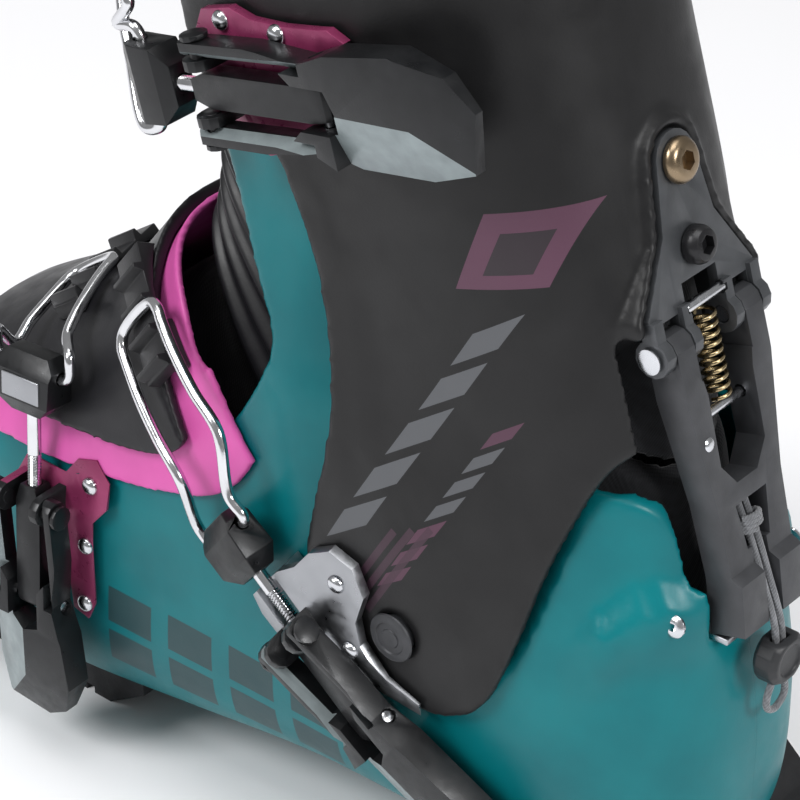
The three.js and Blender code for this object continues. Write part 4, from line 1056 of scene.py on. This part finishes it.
def make_liner(node, name, v0, v1, rows, closed_end=False, bend=None):
    outside = lambda v, t: liner_off(v, t) + quilt(v, t)
    inside = lambda v, t: liner_off(v, t) - LINER - quilt(v, t) - 1
    outer = tube(name, v0, v1, outside, rows, 180, liner_narrow)
    start = v0 + 1 if closed_end else v0 - 0.5
    cut(outer, tube("liner_inside", start, v1 + 0.5, inside, rows, 120, liner_narrow))
    moulded(named(outer, name), 1.3, 5)
    if bend:
        bends_for(outer, node, ("shell", "cuff"), *bend)
    else:
        stands_for(outer, node)


def make_strap():
    strap = patch("power_strap_band", 15.35, 16.2, 179.4, 3.4, 0.8, 14, 220, 1.0, 0.5)
    stands_for(shaded(strap, 50), "power_strap")
    tab = patch("power_strap_end", 15.42, 16.13, 34, 4.9, 3.5, 10, 60, 1.0, 0.4)
    add_piece(shaded(tab, 50), "cuff", "strap_webbing")


# ---------- buckles ----------
HOOK_RISE = 9.6
WIRE = 1.5
BUCKLES = {
    "cuff": {
        "pivot": (88, 220), "tip": (45, 233), "rise": 9, "tip_rise": 9.5, "arm": 38, "length": 84,
        "block": (103, 212), "block_rise": 10, "hook": (13.7, 22), "rivets": ((-4, -15), (-22, -13)),
    },
    "ankle": {
        "pivot": (67, 80), "tip": (2, 30), "rise": 12, "tip_rise": 12, "arm": 29, "length": 80,
        "block": (77, 105), "block_rise": 10, "hook": (8.65, 46), "rivets": ((3, -24), (-11, -13)),
    },
    "toe": {
        "pivot": (160, 79), "tip": (160, 34), "rise": 10.4, "tip_rise": 10.8, "arm": 30, "length": 68,
        "block": (160, 106), "block_rise": 13, "hook": (6.3, 14),
        "rivets": ((7, -17), (-12, -14.5), (-31, -12.5)),
    },
}


def buckle_frames(b):
    """The lever's frame, the bail's frame and the bail's reach."""
    out = outward_at(*b["pivot"]) + outward_at(*b["tip"])
    pivot = skin_at(*b["pivot"], b["rise"])
    lever = Local(pivot, pivot - skin_at(*b["tip"], b["tip_rise"]), out)
    pin = lever.point(-b["arm"], 0, -0.8)
    pull = skin_at(*b["block"], b["block_rise"]) - pin
    pull = pull - lever.y * pull.dot(lever.y)
    return lever, Local(pin, pull, lever.z), float(np.linalg.norm(pull))


def span_point(b, s, off):
    v, t = skin_search(*b["block"])
    return skin(lerp(v, b["hook"][0], s), lerp(t, b["hook"][1] * DEG, s), off)


def span_frame(b, s, off):
    v, t = skin_search(*b["block"])
    v, t = lerp(v, b["hook"][0], s), lerp(t, b["hook"][1] * DEG, s)
    d = 0.06
    along = skin(v + d, t, off) - skin(v - d, t, off)
    about = skin(v, t + d, off) - skin(v, t - d, off)
    pull = span_point(b, s + 0.02, off) - span_point(b, s - 0.02, off)
    return Local(skin(v, t, off), pull, np.cross(about, along))


def make_wire(name, b, bail, reach):
    joint = bail.point(reach + 4, 0, 0)

    def strand(side):
        start = ((0, 5.6), (0, 10.8), (1.4, 12.6), (7, 13))
        points = [joint + side * y * bail.y + x * bail.x for x, y in start]
        for s in (0.28, 0.46, 0.65, 0.82, 0.93):
            rise = lerp(b["block_rise"], HOOK_RISE, float(smooth(0, 0.8, s))) + 1.2 * (1 - s)
            points.append(span_frame(b, s, rise).point(0, side * lerp(13, 9.4, s), 0))
        return points + [span_frame(b, 1, HOOK_RISE).point(-0.3, side * 7.2, 0)]

    run = catmull(strand(1) + strand(-1)[::-1], 10)
    stands_for(rope(name + "_wire_bend", run, WIRE, 20), name + "_wire")


def make_rod(name, b, bail, reach):
    """Adjuster rod with a rolled thread where it enters the sleeve."""
    low, high = b["arm"] - 8, reach - 0.5
    profile = [(1.3, low), (1.85, low + 0.5)]
    x = low + 0.8
    while x < b["arm"] + 12:
        profile += [(1.85, x), (1.5, x + 0.4)]
        x += 0.8
    profile += [(1.85, x), (1.85, high - 0.5), (1.4, high)]
    turned(name + "_rod_thread", name + "_rod", profile, bail.matrix("x"), 32)


def make_buckle_lever(name, b, lever):
    """Black lever with a broad grey facet along its lower side and grey slopes inside its fork."""
    arm, length = b["arm"], b["length"]
    obj = copy_of(name + "_lever", name + "_lever_body")
    cut(obj, long_wedge(lever, [(-1, 5.6), (17, -0.6), (17, 9)], -length - 3, -arm - 5))
    for side in (1, -1):
        cut(obj, long_wedge(lever, [(side * 8, 0.2), (side * 11.4, 4.6), (side * 8, 4.6)], -arm + 1, 6))
    cut(obj, side_chamfer(lever, [(-length + 13, 5.5), (-length - 3, 0.2), (-length - 3, 9)]))
    turn = np.array([lever.x, lever.y, lever.z])
    obj.data.materials.append(MATERIALS["buckle_metal"])
    obj.data.materials.append(LEVER_FACET)
    for face in obj.data.polygons:
        x, y, z = turn @ np.array(face.normal)
        face.material_index = 1 if 0.3 < z < 0.985 and abs(y) > 0.2 and x > -0.25 else 0
    round_edges(obj, 0.55, 3)
    facets = [face.material_index for face in obj.data.polygons]
    stands_for(obj, name + "_lever")
    obj.data.materials.append(LEVER_FACET)
    obj.data.polygons.foreach_set("material_index", facets)


def long_wedge(at, outline, start, end):
    """Wedge with an outline in a local frame's y and z, along its x."""
    return prism("wedge", outline, start, end, lambda y, z, x: at.world(x, y, z))


def side_chamfer(at, outline, half=22):
    """Wedge with an outline in a local frame's x and z, right across its y."""
    return prism("chamfer", outline, -half, half, lambda x, z, y: at.world(x, y, z))


def make_buckle(name, b):
    lever, bail, reach = buckle_frames(b)
    make_buckle_lever(name, b, lever)
    make_wire(name, b, bail, reach)
    make_rod(name, b, bail, reach)
    turned(name + "_cross_pin", name + "_lever_pin", soft_disc(1.6, -10.2, 10.2, 0.3),
           lever.matrix("y", -b["arm"], 0, -0.8), 32)
    for part, width in (("sleeve", 0.5), ("block", 0.7), ("ladder", 0.45)):
        rounded(f"{name}_{part}", f"{name}_{part}_smooth", width, 3)
    make_buckle_base(name, b, lever)
    if name == "toe":
        make_label(bail, reach)


def make_label(bail, reach):
    """Blank metal label on the toe buckle's block."""
    half = 6.6
    outline = [(reach - 3.4, -half), (reach + 3.2, -half), (reach + 3.2, half), (reach - 3.4, half)]
    label = local_prism(bail, outline, 4.6, 5.3)
    round_edges(label, 0.25, 3)
    add_piece(named(label, "toe_label"), BODY_OF["toe_block"], "base_silver")


def make_buckle_base(name, b, lever):
    """Coloured plate with black ears and domed rivets."""
    base = rounded(name + "_base", name + "_base_smooth", 0.4, 2)
    base.data.materials.append(MATERIALS["buckle_metal"])
    for face in base.data.polygons:
        out = (np.array(face.center) / MM - ORIGIN - lever.origin).dot(lever.z)
        face.material_index = 1 if out > -4.3 else 0
    for k, (x, y) in enumerate(b["rivets"]):
        hit = surface_under(base, lever, x, y)
        dome = [(2.5, -0.2), (2.5, 0.3), (2.2, 0.9), (1.5, 1.4), (0.6, 1.6)]
        matrix = Matrix.Translation(Vector(hit)) @ lever.matrix("z").to_3x3().to_4x4()
        rivet = named(lathe("rivet", dome, matrix, 32), f"{name}_base_rivet_{k}")
        add_piece(rivet, BODY_OF[name + "_base"], "pin_steel")


def surface_under(obj, at, x, y):
    """Point of a mesh straight below (x, y) of a local frame."""
    start = Vector(at.world(x, y, 10))
    found, place, _, _ = obj.ray_cast(start, -Vector(at.z))
    return place if found else Vector(at.world(x, y, -7))


# ---------- walk mechanism ----------
def make_walk():
    face = PLATE["face"]
    for x, r, height, node in ((40, 5.4, 3.4, "plate_screw_upper"), (20, 4.6, 4.4, "plate_screw_lower")):
        top = face + height
        head = [(2.4, -9), (2.6, -8.6), (2.6, face + FIT), (r - 0.2, face + FIT), (r, face + FIT + 0.3)]
        head += [(r, face + height * 0.5), (r * 0.93, face + height * 0.72)]
        head += [(r * 0.8, top - 0.25), (r * 0.66, top)]
        turned(node + "_head", node, head, LEVER.matrix("z", x), 56, hexagon=(2.4, top, 2.2))
    for side, node in ((1, "hinge_pin_outer"), (-1, "hinge_pin_inner")):
        profile = [(1.9, 6.8), (1.9, 20.2), (2.6, 20.2), (3.1, 20.6), (3.1, 21.0), (2.4, 21.2)]
        profile = profile if side > 0 else [(r, -h) for r, h in profile[::-1]]
        turned(node + "_round", node, profile, LEVER.matrix("y"), 40)
    for bar, half, node in ((SPRING_AXLE, 7, "spring_axle"), (CROSSBAR, 9.5, "lever_crossbar")):
        profile = soft_disc(bar["r"], -half, half, 0.25)
        turned(node + "_round", node, profile, LEVER.matrix("y", bar["x"], 0, bar["z"]), 32)
    angle = np.linspace(0, 10 * 2 * np.pi, 340)
    climb = 21.6 / angle[-1]
    coil = [LEVER.point(-17.2 + climb * a, 2.7 * math.cos(a), 0.3 + 2.7 * math.sin(a)) for a in angle]
    spring = rope("coil_spring", coil, 0.5, 10)
    start, end = (LEVER.world(bar["x"], 0, 0) for bar in (SPRING_AXLE, CROSSBAR))
    bends_for(spring, "lever_spring", ("cuff", "walk_lever"), start, end)
    rounded("lever_plate", "plate_smooth", 0.5, 3)
    rounded("walk_lever", "walk_lever_smooth", 0.6, 3)
    dome = [(1.7, 0), (1.7, 0.5), (1.2, 0.9), (0.5, 1.0)]
    rivet = lathe("rivet", dome, LEVER.matrix("z", -24, 11.4, 4.0), 32)
    add_piece(named(rivet, "lever_rivet"), "walk_lever", "pin_steel")
    rounded("lock_plate", "lock_plate_smooth", 0.3, 2)


def make_pivots():
    for side, node in ((1, "pivot_outer"), (-1, "pivot_inner")):
        f = abs(skin_at(*PIVOT, CUFF_PROUD, side)[1])
        profile = [(5, f - 9), (5, f + 0.6), (6.3, f + 0.6), (6.6, f + 0.8), (6.4, f + 1.2), (5.6, f + 1.6)]
        profile += [(4.4, f + 1.6), (4.1, f + 1.2), (2.6, f + 1.2), (2.4, f + 1.5)]
        if side < 0:
            profile = [(r, -h) for r, h in profile[::-1]]
        turned(node + "_round", node, profile, PIVOT_FRAME.matrix("y"), 56)


def make_ledge_screws():
    for side, node in ((1, "ledge_screw_outer"), (-1, "ledge_screw_inner")):
        place = Local(skin_at(-27, 111, 0, side), (1, 0, 0.01), outward_at(-27, 111, side))
        profile = [(2.9, FIT), (2.9, 0.9), (2.5, 1.4), (1.7, 1.8), (1.1, 1.8)]
        turned(node + "_round", node, profile, place.matrix("z"), 40, hexagon=(1.1, 1.8, 1.0))


# ---------- build ----------
make_camera()
make_cord()
make_stage()
make_shell()
make_cuff()
make_lip()
make_tongue_foot()
make_tongue_flex()
make_tongue_shin()
make_liner("liner_foot", "liner_foot_padding", 1.3, 10.6, 160, True)
ankle_bend = (world((30, MIDLINE, 150)), world((60, MIDLINE, 215)))
make_liner("liner_ankle", "liner_ankle_padding", 10.75, 12.55, 60, bend=ankle_bend)
make_liner("liner_cuff", "liner_cuff_padding", 12.7, 16.5, 110)
make_strap()
for buckle_name, buckle in BUCKLES.items():
    make_buckle(buckle_name, buckle)
make_walk()
make_pivots()
make_ledge_screws()
for sole_node in ("toe_sole", "heel_sole"):
    rounded(sole_node, sole_node + "_smooth", 0.8, 3)
for insert_node in ("toe_insert", "heel_insert"):
    rounded(insert_node, insert_node + "_smooth", 0.35, 2)
rounded("boot_board", "boot_board_smooth", 0.8, 2)
